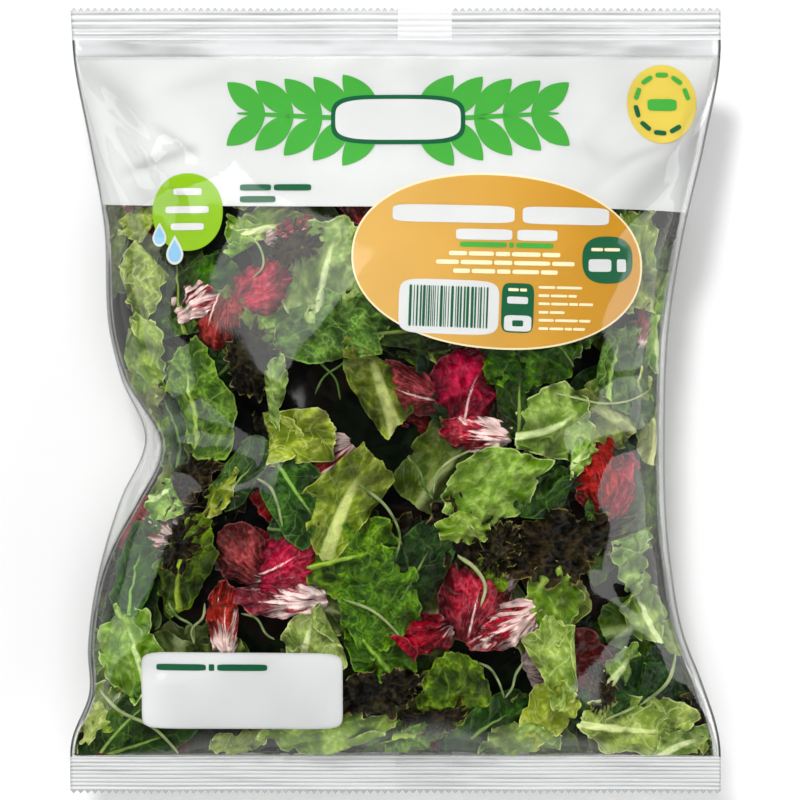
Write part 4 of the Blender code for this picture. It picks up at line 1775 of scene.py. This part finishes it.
#: Each kind's leaves under the front film, as x, y, turn, length, width, depth, seed and tone, then extras.
SHOWN: dict[Kind, tuple[Leaf, ...]] = {
    Kind.LETTUCE: (
        Leaf(-93, 46, 82, 44, 24, 1.8, 1, 0.85),
        Leaf(-94, 66, 30, 24, 15, 1.8, 2, 0.85),
        Leaf(-56, 60, 110, 22, 11, 1.8, 3, 0.90, bend=4.0),
        Leaf(-25, 50, 80, 42, 30, 2.6, 4, 0.80),
        Leaf(90, 54, 95, 38, 22, 1.6, 5, 0.80),
        Leaf(70, 62, 60, 32, 24, 3.4, 6, 0.55),
        Leaf(-93, 13, 76, 36, 24, 1.0, 7, 0.92),
        Leaf(-45, 3, 62, 28, 10, 1.4, 8, 0.66, fold=(110, 1.0)),
        Leaf(-39, -14, 10, 44, 24, 1.6, 9, 0.78, slope=(0, 0.8)),
        Leaf(-85, -36, 20, 19, 15, 0.6, 10, 0.95),
        Leaf(-65, -33, 60, 18, 12, 2.4, 11, 0.72),
        Leaf(61, -10, 24, 34, 27, 1.6, 12, 0.80, slope=(0.8, 0)),
        Leaf(37, -30, 12, 42, 30, 1.2, 13, 0.82, slope=(0, 0.6)),
        Leaf(67, -21, 50, 17, 11, 0.6, 14, 0.78, fold=(140, 2.0)),
        Leaf(25, -47, 160, 20, 14, 2.0, 15, 0.70),
        Leaf(58, -73, 75, 30, 22, 1.8, 16, 0.74),
        Leaf(88, -55, 80, 26, 20, 1.2, 17, 0.70),
        Leaf(92, -76, 110, 24, 18, 1.0, 18, 0.72),
        Leaf(-99, -92, 100, 36, 26, 1.0, 19, 0.90),
        Leaf(-29, -88, 70, 28, 24, 1.6, 20, 0.85),
        Leaf(58, -93, 86, 36, 21, 0.8, 21, 1.0),
        Leaf(56, -116, 60, 26, 18, 1.4, 22, 0.85),
        Leaf(88, -120, -4, 48, 21, 0.6, 23, 1.0),
        Leaf(46, -126, 4, 34, 13, 1.4, 24, 0.80),
        Leaf(-27, -124, 4, 46, 17, 0.8, 25, 0.95),
        Leaf(-58, -127, 12, 22, 10, 1.2, 26, 0.70),
        Leaf(-112, -117, 80, 26, 16, 1.0, 27, 0.95),
        Leaf(84, -98, 40, 24, 12, 1.8, 28, 0.70),
        Leaf(107, -127, 20, 24, 14, 0.8, 29, 0.70),
        Leaf(-46, 65, 15, 28, 15, 3.0, 30, 0.75),
        Leaf(99, 30, 88, 38, 20, 1.6, 31, 0.80),
        Leaf(96, -8, 96, 36, 18, 2.0, 32, 0.62),
    ),
    Kind.BATAVIA: (
        Leaf(-24, 28, 6, 50, 26, 2.2, 41, 0.74, slope=(0, -0.8)),
        Leaf(-72, 2, 84, 44, 27, 0.9, 42, 1.0),
        Leaf(84, 14, 70, 34, 26, 3.0, 43, 0.62),
        Leaf(52, 17, 20, 38, 24, 2.6, 44, 0.44),
        Leaf(-78, -61, 80, 34, 24, 2.6, 45, 0.54),
        Leaf(-17, -58, 12, 34, 26, 2.4, 46, 0.62),
        Leaf(-7, -72, 100, 42, 30, 1.8, 47, 0.64),
        Leaf(-6, -90, 122, 40, 28, 2.4, 48, 0.60),
        Leaf(22, -107, 40, 30, 22, 2.2, 49, 0.66),
        Leaf(7, -125, 10, 22, 13, 1.0, 50, 0.80),
        Leaf(34, -64, 80, 18, 14, 2.6, 51, 0.80),
        Leaf(74, 36, 100, 30, 24, 4.0, 52, 0.50),
        Leaf(-69, 44, 50, 30, 20, 3.8, 53, 0.66),
        Leaf(-93, -10, 70, 30, 18, 2.2, 54, 0.85),
    ),
    Kind.ESCAROLE: (
        Leaf(-8, 8, 98, 38, 18, 2.0, 61, 0.40),
        Leaf(-18, -35, 74, 44, 26, 1.2, 62, 0.62),
        Leaf(78, -3, 160, 30, 20, 3.4, 63, 0.50),
        Leaf(-64, -104, 70, 34, 20, 4.6, 64, 0.50),
    ),
    Kind.SPINACH: (
        Leaf(-80, 45, 95, 38, 18, 3.6, 71, 0.72),
        Leaf(-85, -4, 96, 36, 12, 3.0, 72, 0.40),
        Leaf(16, 27, 8, 42, 17, 3.2, 73, 0.30),
        Leaf(45, 2, 75, 30, 17, 2.4, 74, 0.42),
        Leaf(-57, -27, 60, 26, 19, 2.4, 75, 0.74),
        Leaf(-35, -37, -48, 42, 22, 2.0, 76, 0.78),
        Leaf(55, -34, 170, 34, 22, 3.0, 77, 0.60),
        Leaf(-97, -61, 85, 34, 22, 1.2, 78, 0.95),
        Leaf(9, -61, 64, 32, 22, 2.8, 79, 0.44),
        Leaf(84, -108, 24, 40, 17, 1.6, 80, 0.30),
        Leaf(98, -105, 62, 32, 16, 1.3, 81, 0.34),
        Leaf(-99, -117, 46, 40, 17, 0.9, 82, 0.75, bend=-3.0),
        Leaf(-92, -126, 20, 36, 14, 1.6, 83, 0.48),
        Leaf(37, -117, 30, 22, 16, 2.2, 84, 0.55),
        Leaf(78, -42, 60, 30, 20, 4.2, 85, 0.40),
    ),
    Kind.RED: (
        Leaf(-75, 36, 30, 20, 13, 2.0, 100, 0.70, pale=0.7),
        Leaf(-50, 42, 35, 27, 22, 0.9, 101, 0.78, dome=4.0, pale=-0.5),
        Leaf(-65, 30, 250, 23, 22, 0.4, 102, 0.44, dome=5.0, pale=-0.6),
        Leaf(31, -12, 172, 26, 14, 1.4, 103, 0.66, dome=1.5, pale=0.55),
        Leaf(5, 5, 160, 24, 21, 1.2, 104, 0.34, dome=4.5, pale=-0.4),
        Leaf(25, 5, 60, 28, 25, 0.5, 105, 0.40, dome=4.5, pale=-0.7),
        Leaf(78, -29, 110, 30, 24, 1.4, 106, 0.66, dome=4.0, pale=-0.2),
        Leaf(86, -33, 70, 24, 18, 0.6, 107, 0.80, dome=3.5, pale=-0.4),
        Leaf(-42, -73, 178, 32, 14, 1.4, 108, 0.62, dome=1.5, pale=0.55),
        Leaf(-57, -57, 140, 24, 20, 1.6, 109, 0.32, dome=3.0, pale=-0.3),
        Leaf(-41, -61, 30, 29, 24, 0.3, 110, 0.56, dome=5.5, pale=-0.8),
        Leaf(-64, -81, 88, 26, 12, 1.8, 111, 0.66, dome=1.0, pale=0.45),
        Leaf(40, -83, 205, 30, 16, 1.2, 112, 0.60, dome=1.5, pale=0.6),
        Leaf(9, -88, 200, 23, 17, 0.4, 113, 0.50, dome=4.5, pale=-0.3, fold=(20, 6.0)),
        Leaf(28, -74, 75, 29, 25, 0.4, 114, 0.50, dome=5.0, pale=-0.7),
        Leaf(94, 28, 70, 20, 12, 1.6, 115, 0.40),
        Leaf(-38, 62, 20, 18, 9, 1.8, 116, 0.60),
    ),
    Kind.FRILL: (
        Leaf(-37, 57, 30, 20, 16, 1.6, 121, 0.95),
        Leaf(-54, 15, 70, 28, 22, 2.8, 122, 0.72),
        Leaf(-78, -29, 40, 26, 18, 2.2, 123, 0.40),
        Leaf(-79, -52, 70, 22, 18, 2.0, 124, 0.35),
        Leaf(61, -53, 8, 54, 27, 1.2, 125, 0.40),
        Leaf(38, -56, 70, 20, 14, 1.6, 126, 0.90),
        Leaf(-8, -108, 10, 40, 18, 1.2, 127, 0.62),
        Leaf(76, -107, 80, 20, 13, 0.9, 128, 0.74),
        Leaf(14, -118, 20, 22, 12, 1.8, 129, 0.50),
    ),
}

#: The thin stems between the leaves.
STALKS: tuple[Stalk, ...] = (
    Stalk(((-33, 20), (-27, 13), (-22, 8), (-20, 0)), 0.8, 0.5, 4.5, 0.05),
    Stalk(((-30, 2), (-26, 9), (-20, 13), (-14, 20)), 0.7, 0.5, 5.0, 0.1),
    Stalk(((57, 3), (66, 1), (75, -1), (86, 0), (95, 4)), 0.7, 0.5, 0.6, 0.7),
    Stalk(((-51, -28), (-46, -31), (-43, -37), (-41, -46)), 1.0, 0.7, 0.8, 0.5),
    Stalk(((4, -20), (9, -26), (11, -32), (14, -36)), 0.9, 0.6, 2.5, 0.2),
    Stalk(((28, -18), (20, -22), (15, -27), (14, -34)), 0.9, 0.6, 2.2, 0.45),
    Stalk(((22, -56), (29, -61), (33, -68), (31, -75)), 1.5, 0.8, 0.6, 0.7),
    Stalk(((-84, -74), (-80, -80), (-75, -83), (-74, -90)), 0.9, 0.6, 2.8, 0.3),
    Stalk(((-70, -74), (-71, -80), (-75, -84), (-74, -90)), 0.9, 0.6, 2.4, 0.5),
    Stalk(((-57, -78), (-51, -80), (-47, -86), (-44, -88)), 0.8, 0.6, 2.2, 0.3),
    Stalk(((30, -96), (35, -99), (38, -104), (40, -110)), 0.9, 0.6, 2.4, 0.4),
    Stalk(((47, -96), (44, -101), (43, -106), (40, -110)), 0.9, 0.6, 2.2, 0.5),
    Stalk(((-110, -106), (-102, -114), (-90, -120), (-79, -131)), 1.3, 0.8, 0.4, 0.6),
    Stalk(((104, -92), (100, -104), (90, -112), (76, -118)), 1.2, 0.7, 0.7, 0.5),
    Stalk(((-20, -72), (-8, -77), (0, -84), (6, -92)), 1.0, 0.6, 0.9, 0.5),
    Stalk(((-56, 62), (-50, 57), (-48, 49), (-53, 44)), 0.8, 0.5, 1.2, 0.5),
    Stalk(((40, 22), (50, 24), (60, 20), (66, 12)), 0.9, 0.6, 1.4, 0.35),
    Stalk(((-14, -30), (-4, -38), (2, -50), (0, -58)), 1.1, 0.6, 1.6, 0.3),
)


@dataclass(frozen=True)
class Scatter:
    """A layer of leaves laid at random on a loose grid round the bag. Lengths are in millimetres."""

    pitch: tuple[float, float]
    depth: tuple[float, float]
    size: tuple[float, float]
    count: int
    seed: int
    low: float = -132.0
    high: float = 124.0
    keep: tuple[float, float] = (0.0, 1.0)
    tone: tuple[float, float] = (0.25, 0.75)


@dataclass
class Salad:
    """All the leaves: those seen through the front, the scattered ones round them, stems and the core."""

    space: LeafSpace
    swell: float = 1.12
    hollows: tuple = (
        (-24, 4, 24),
        (0, -29, 19),
        (-77, -82, 17),
        (80, -70, 15),
        (-78, -54, 12),
        (38, -103, 13),
        (-50, -83, 12),
        (-66, 50, 13),
    )
    shares: tuple = (
        (Kind.LETTUCE, 0.27),
        (Kind.BATAVIA, 0.20),
        (Kind.ESCAROLE, 0.12),
        (Kind.SPINACH, 0.17),
        (Kind.RED, 0.12),
        (Kind.FRILL, 0.12),
    )

    def __post_init__(self) -> None:
        """Starts one batch for each kind."""
        self.maker = LeafMaker(self.space)
        self.batches = {kind: Batch(kind.value) for kind in Kind}

    def lay_shown(self) -> None:
        """Lays the leaves that show through the front."""
        for kind, leaves in SHOWN.items():
            for leaf in leaves:
                larger = replace(leaf, length=self.swell * leaf.length, width=self.swell * leaf.width)
                self.batches[kind].add(self.maker.make(FORMS[kind], larger))

    def scatter(self, layer: Scatter) -> None:
        """Lays one layer of scattered leaves right round the bag.

        Args:
            layer: the layer's pitch, depths, sizes and mesh count.
        """
        rng = np.random.default_rng(layer.seed)
        names = [kind for kind, _ in self.shares]
        odds = [share for _, share in self.shares]
        up = layer.low
        while up < layer.high:
            row = int(np.clip((up * MM - self.space.low) / (self.space.high - self.space.low), 0, 1) * 180)
            left, right = self.space.reach[:, row] / MM
            around = -left + rng.uniform(0, layer.pitch[0])
            while around < right:
                share = abs(around) / (left if around < 0 else right)
                kind = names[rng.choice(len(names), p=odds)]
                place = (around + rng.uniform(-5, 5), up + rng.uniform(-6, 6))
                length = rng.uniform(*layer.size)
                leaf = Leaf(
                    *place,
                    turn=rng.uniform(0, 360),
                    length=length,
                    width=length * rng.uniform(0.5, 0.85),
                    depth=rng.uniform(*layer.depth),
                    seed=int(rng.integers(200, 90000)),
                    tone=rng.uniform(*layer.tone),
                    slope=tuple(rng.uniform(-1.2, 1.2, 2)),
                    around=True,
                )
                if layer.keep[0] <= share <= layer.keep[1]:
                    patch = self.maker.make(replace(FORMS[kind], count=layer.count), leaf)
                    x, y, z = patch.points.mean(axis=(0, 1)) / MM
                    hollow = z > 35 and any(math.hypot(x - a, y - b) < r for a, b, r in self.hollows)
                    if not hollow:
                        self.batches[kind].add(patch)
                around += layer.pitch[0] * rng.uniform(0.8, 1.2)
            up += layer.pitch[1]

    def build_stalks(self, material: bpy.types.Material) -> bpy.types.Object:
        """Makes the stems: tubes along smooth lines, closed at their ends.

        Args:
            material: the stems' finish.

        Returns:
            The stems' object.
        """
        batch = Batch("thin_stems")
        for stalk in STALKS:
            path = smooth_path(np.array(stalk.path, float), 25)
            around = np.array([self.space.around(*(point * MM)) for point in path])
            around = np.convolve(np.pad(around, 2, mode="edge"), np.ones(5) / 5, mode="valid")
            s = np.linspace(0, 1, 25)
            depth = stalk.depth + 0.5 * np.sin(7 * s + stalk.path[0][0])
            centre = self.space.lay(around, path[:, 1] * MM, depth * MM)
            run = np.gradient(centre, axis=0)
            run /= np.linalg.norm(run, axis=-1, keepdims=True)
            side = np.cross(run, (0.0, 0.0, 1.0))
            side /= np.linalg.norm(side, axis=-1, keepdims=True)
            top = np.cross(side, run)
            thick = (stalk.thick + (stalk.end_thick - stalk.thick) * s) * 0.62 * MM
            closing = np.sqrt(np.clip(np.minimum(s / 0.2, (1 - s) / 0.06), 0, 1))
            turn = np.linspace(0, 2 * np.pi, 11)
            radius = (thick * closing)[:, None, None]
            ring = np.cos(turn)[None, :, None] * side[:, None] + np.sin(turn)[None, :, None] * top[:, None]
            flat = np.stack(np.meshgrid(turn, s), axis=-1)
            tone = np.ones((25, 11, 4)) * stalk.tone
            batch.add(Patch(centre[:, None] + radius * ring, flat, tone))
        return batch.build([material], flip=True)

    def build_core(self, material: bpy.types.Material) -> bpy.types.Object:
        """Makes the closed heap of leaves inside: a skin deep under the film, in leafy folds.

        Args:
            material: the core's finish.

        Returns:
            The core's object.
        """
        rows, columns = 150, 260
        space = self.space
        hills, finer = SmoothNoise(71), SmoothNoise(72)
        low, high = space.low + 0.004, space.high - 0.004
        share, up = np.meshgrid(np.linspace(-1, 1, columns), np.linspace(low, high, rows))
        at = (up - space.low) / (space.high - space.low) * (space.rows - 1)
        index = np.arange(space.rows)
        left, right = (np.interp(at, index, reach) for reach in space.reach)
        around = share * np.where(share < 0, left, right)
        ring = 0.05 * np.cos(np.pi * share), 0.05 * np.sin(np.pi * share)
        folds = hills(ring[0] / 0.011 + up / 0.018, ring[1] / 0.011 + up / 0.02 + 7)
        creases = finer(ring[0] / 0.005 + up / 0.008, ring[1] / 0.005 - up / 0.009)
        depth = 0.013 + 0.009 * folds + 0.004 * np.abs(creases)
        points = space.lay(around, up, depth)
        points[:, -1] = points[:, 0]
        for row in (0, -1):
            points[row, :, 2] = points[row, :, 2].mean()
        batch = Batch("leaf_heap_core")
        batch.add(Patch(points, np.stack([around, up], axis=-1) * 100, np.full((rows, columns, 4), 0.5)))
        return batch.build([material])

    def build(self) -> list[bpy.types.Object]:
        """Makes every leaf piece.

        Returns:
            One object for each kind, then the stems and the core.
        """
        self.lay_shown()
        for layer in SCATTERS:
            self.scatter(layer)
        veins = leaf_vein_group()
        pieces = []
        for kind, batch in self.batches.items():
            piece = batch.build([FINISHES[kind].build(veins)])
            LOG.info("%s: %d leaves, %d faces", batch.name, len(batch.patches), len(piece.data.polygons))
            pieces.append(piece)
        pieces.append(self.build_stalks(StemFinish().build()))
        pieces.append(self.build_core(CoreFinish().build()))
        for piece in pieces:
            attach(piece, BODY)
        return pieces


# The deeper layers get darker tones, painted shade for leaves deep in the heap.
SCATTERS = (
    Scatter((31, 27), (4.5, 7.5), (32, 44), 27, 305, high=76.0, keep=(0.0, 0.5), tone=(0.22, 0.45)),
    Scatter((30, 26), (9.0, 14.0), (30, 46), 23, 301, tone=(0.05, 0.30)),
    Scatter((26, 22), (0.6, 3.6), (28, 42), 25, 302, keep=(0.46, 1.0)),
    Scatter((24, 20), (1.5, 4.0), (26, 38), 19, 303, low=78.0, high=120.0, keep=(0.0, 0.46)),
)


@dataclass(frozen=True)
class StemFinish:
    """Pale thin stems, greener in places."""

    pale: Colour = srgb(188, 200, 142)
    green: Colour = srgb(70, 104, 34)

    def build(self) -> bpy.types.Material:
        """Makes the material: pale and green mixed by long noise and by each stem's tone."""
        material, graph, shader = new_material("thin_stem")
        tone = graph.carried("tone")
        cloud = graph.noise(graph.object_place(), 160.0, 3.0)
        share = graph.math("ADD", graph.times(tone, 0.8), graph.minus(cloud, 0.4))
        colour = graph.mix(graph.ramp(share, 0.1, 0.8), self.green, self.pale)
        graph.feed(shader, Base_Color=colour)
        graph.feed(shader, Roughness=graph.ramp(cloud, 0.2, 0.8, 0.32, 0.48))
        return material


@dataclass(frozen=True)
class CoreFinish:
    """The deep leaves inside the heap, near-black as painted shade."""

    # Painted shade: near-black colours for the heap's deep, shaded leaves.
    dark: Colour = srgb(3, 5, 3)
    green: Colour = srgb(16, 28, 10)
    brown: Colour = srgb(26, 16, 12)

    def build(self) -> bpy.types.Material:
        """Makes the material: near-black greens and browns as painted shade, in leaf-sized patches, with
        faint creases.
        """
        material, graph, shader = new_material("leaf_heap_core")
        place = graph.object_place()
        patch = graph.add("ShaderNodeTexVoronoi", {"Vector": place, "Scale": 55.0}).outputs["Color"]
        parts = graph.add("ShaderNodeSeparateColor", {"Color": patch}).outputs
        cloud = graph.noise(place, 180.0, 4.0)
        colour = graph.mix(graph.ramp(parts["Red"], 0.3, 0.8), self.dark, self.green)
        colour = graph.mix(graph.ramp(parts["Green"], 0.6, 0.9), colour, self.brown)
        colour = graph.mix(graph.ramp(cloud, 0.45, 0.7), colour, self.dark)
        graph.feed(shader, Base_Color=colour)
        graph.feed(shader, Roughness=graph.ramp(cloud, 0.2, 0.8, 0.4, 0.6))
        shader.inputs["Specular IOR Level"].default_value = 0.08
        graph.feed(shader, Normal=graph.relief(cloud, 0.6, 0.001))
        return material


# ------------------------------------------------------------------------------
# The studio
# ------------------------------------------------------------------------------


@dataclass(frozen=True)
class SoftBox:
    """A soft area light: its azimuth and height as seen from the bag, its distance, size and power.

    A mirrored box shows in the film as a streak. The others only light, as through a diffuser.
    """

    name: str
    azimuth: float
    height: float
    reach: float
    size: tuple[float, float]
    power: float
    mirrored: bool = True


@dataclass(frozen=True)
class Studio:
    """A pale floor, soft lights round it and a camera straight above."""

    lens: float = 268.0
    sensor: float = 36.0
    frame_width: float = 0.2952
    aim: tuple[float, float, float] = (0.0017, 0.0002, 0.022)
    floor_side: float = 3.0
    zenith: float = 0.015
    horizon: float = 1.5
    boxes: tuple[SoftBox, ...] = (
        SoftBox("key_light", 108.0, 46.0, 2.3, (0.6, 0.4), 28.0, mirrored=False),
        SoftBox("overhead_fill", 0.0, 88.0, 2.7, (3.0, 3.0), 30.0, mirrored=False),
        SoftBox("low_fill", 285.0, 40.0, 2.4, (1.6, 1.0), 6.0, mirrored=False),
        SoftBox("right_box", -24.0, 24.0, 1.7, (1.9, 0.95), 12.0),
        SoftBox("left_box", 188.0, 30.0, 1.8, (1.5, 0.7), 5.0),
        SoftBox("back_box", 145.0, 64.0, 1.9, (0.9, 0.7), 4.2),
    )

    def build(self) -> None:
        """Makes the floor, the sky, the soft boxes and the camera."""
        self.lay_floor()
        self.light_sky()
        for box in self.boxes:
            self.place_box(box)
        self.place_camera()
        bpy.context.scene.view_settings.view_transform = "Standard"

    def lay_floor(self) -> None:
        """Lays a wide pale floor at z = 0."""
        half = self.floor_side / 2
        points = np.array([(-half, -half, 0), (half, -half, 0), (half, half, 0), (-half, half, 0)])
        material, graph, shader = new_material("pale_floor")
        cloud = graph.noise(graph.object_place(), 3.0, 2.0)
        colour = graph.mix(cloud, srgb(254, 254, 254), srgb(255, 255, 255))
        graph.feed(shader, Base_Color=colour)
        shader.inputs["Roughness"].default_value = 0.9
        mesh = make_mesh("pale_floor", points, np.array([[0, 1, 2, 3]]))
        place_piece("pale_floor", mesh, [material])

    def light_sky(self) -> None:
        """Makes a sky that is dim overhead and bright near the horizon, as a room of white walls is."""
        world = bpy.data.worlds.new("room")
        world.use_nodes = True
        bpy.context.scene.world = world
        graph = Graph(world.node_tree)
        way = graph.add("ShaderNodeTexCoord").outputs["Generated"]
        up = graph.axis(way, "Z")
        level = graph.ramp(up, 0.0, 0.38, self.horizon, self.zenith)
        shader = world.node_tree.nodes["Background"]
        shader.inputs["Color"].default_value = (1.0, 1.0, 1.0, 1.0)
        graph.feed(shader, Strength=level)

    def place_box(self, box: SoftBox) -> None:
        """Places a soft box at its azimuth and height, facing the bag."""
        data = bpy.data.lights.new(box.name, "AREA")
        data.shape = "RECTANGLE"
        data.size, data.size_y = box.size
        data.energy = box.power
        light = bpy.data.objects.new(box.name, data)
        azimuth, height = math.radians(box.azimuth), math.radians(box.height)
        flat = math.cos(height)
        away = Vector((flat * math.cos(azimuth), flat * math.sin(azimuth), math.sin(height)))
        light.location = away * box.reach
        light.rotation_euler = away.to_track_quat("Z", "Y").to_euler()
        light.visible_camera = False
        light.visible_glossy = box.mirrored
        bpy.context.scene.collection.objects.link(light)

    def place_camera(self) -> None:
        """Places the long-lensed camera, which looks straight down with +Y up."""
        data = bpy.data.cameras.new("camera")
        data.lens, data.sensor_width = self.lens, self.sensor
        data.clip_start, data.clip_end = 0.1, 60.0
        camera = bpy.data.objects.new("camera", data)
        rise = self.frame_width * self.lens / self.sensor
        camera.location = (self.aim[0], self.aim[1], self.aim[2] + rise)
        bpy.context.scene.collection.objects.link(camera)
        bpy.context.scene.camera = camera


def main() -> None:
    """Builds the bag and the studio, and logs each piece."""
    logging.basicConfig(level=logging.INFO, format="%(name)s: %(message)s")
    low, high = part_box(NODE)
    form = BagForm(width=high[0] - low[0], length=high[1] - low[1])
    pieces = [Film(form).build(FilmFinish().build(), SealFinish().build())]
    pieces += Print(form).build()
    pieces += Salad(LeafSpace(form)).build()
    for piece in pieces:
        LOG.info("%s: %d faces", piece.name, len(piece.data.polygons))
    Studio().build()


if __name__ == "__main__":
    main()
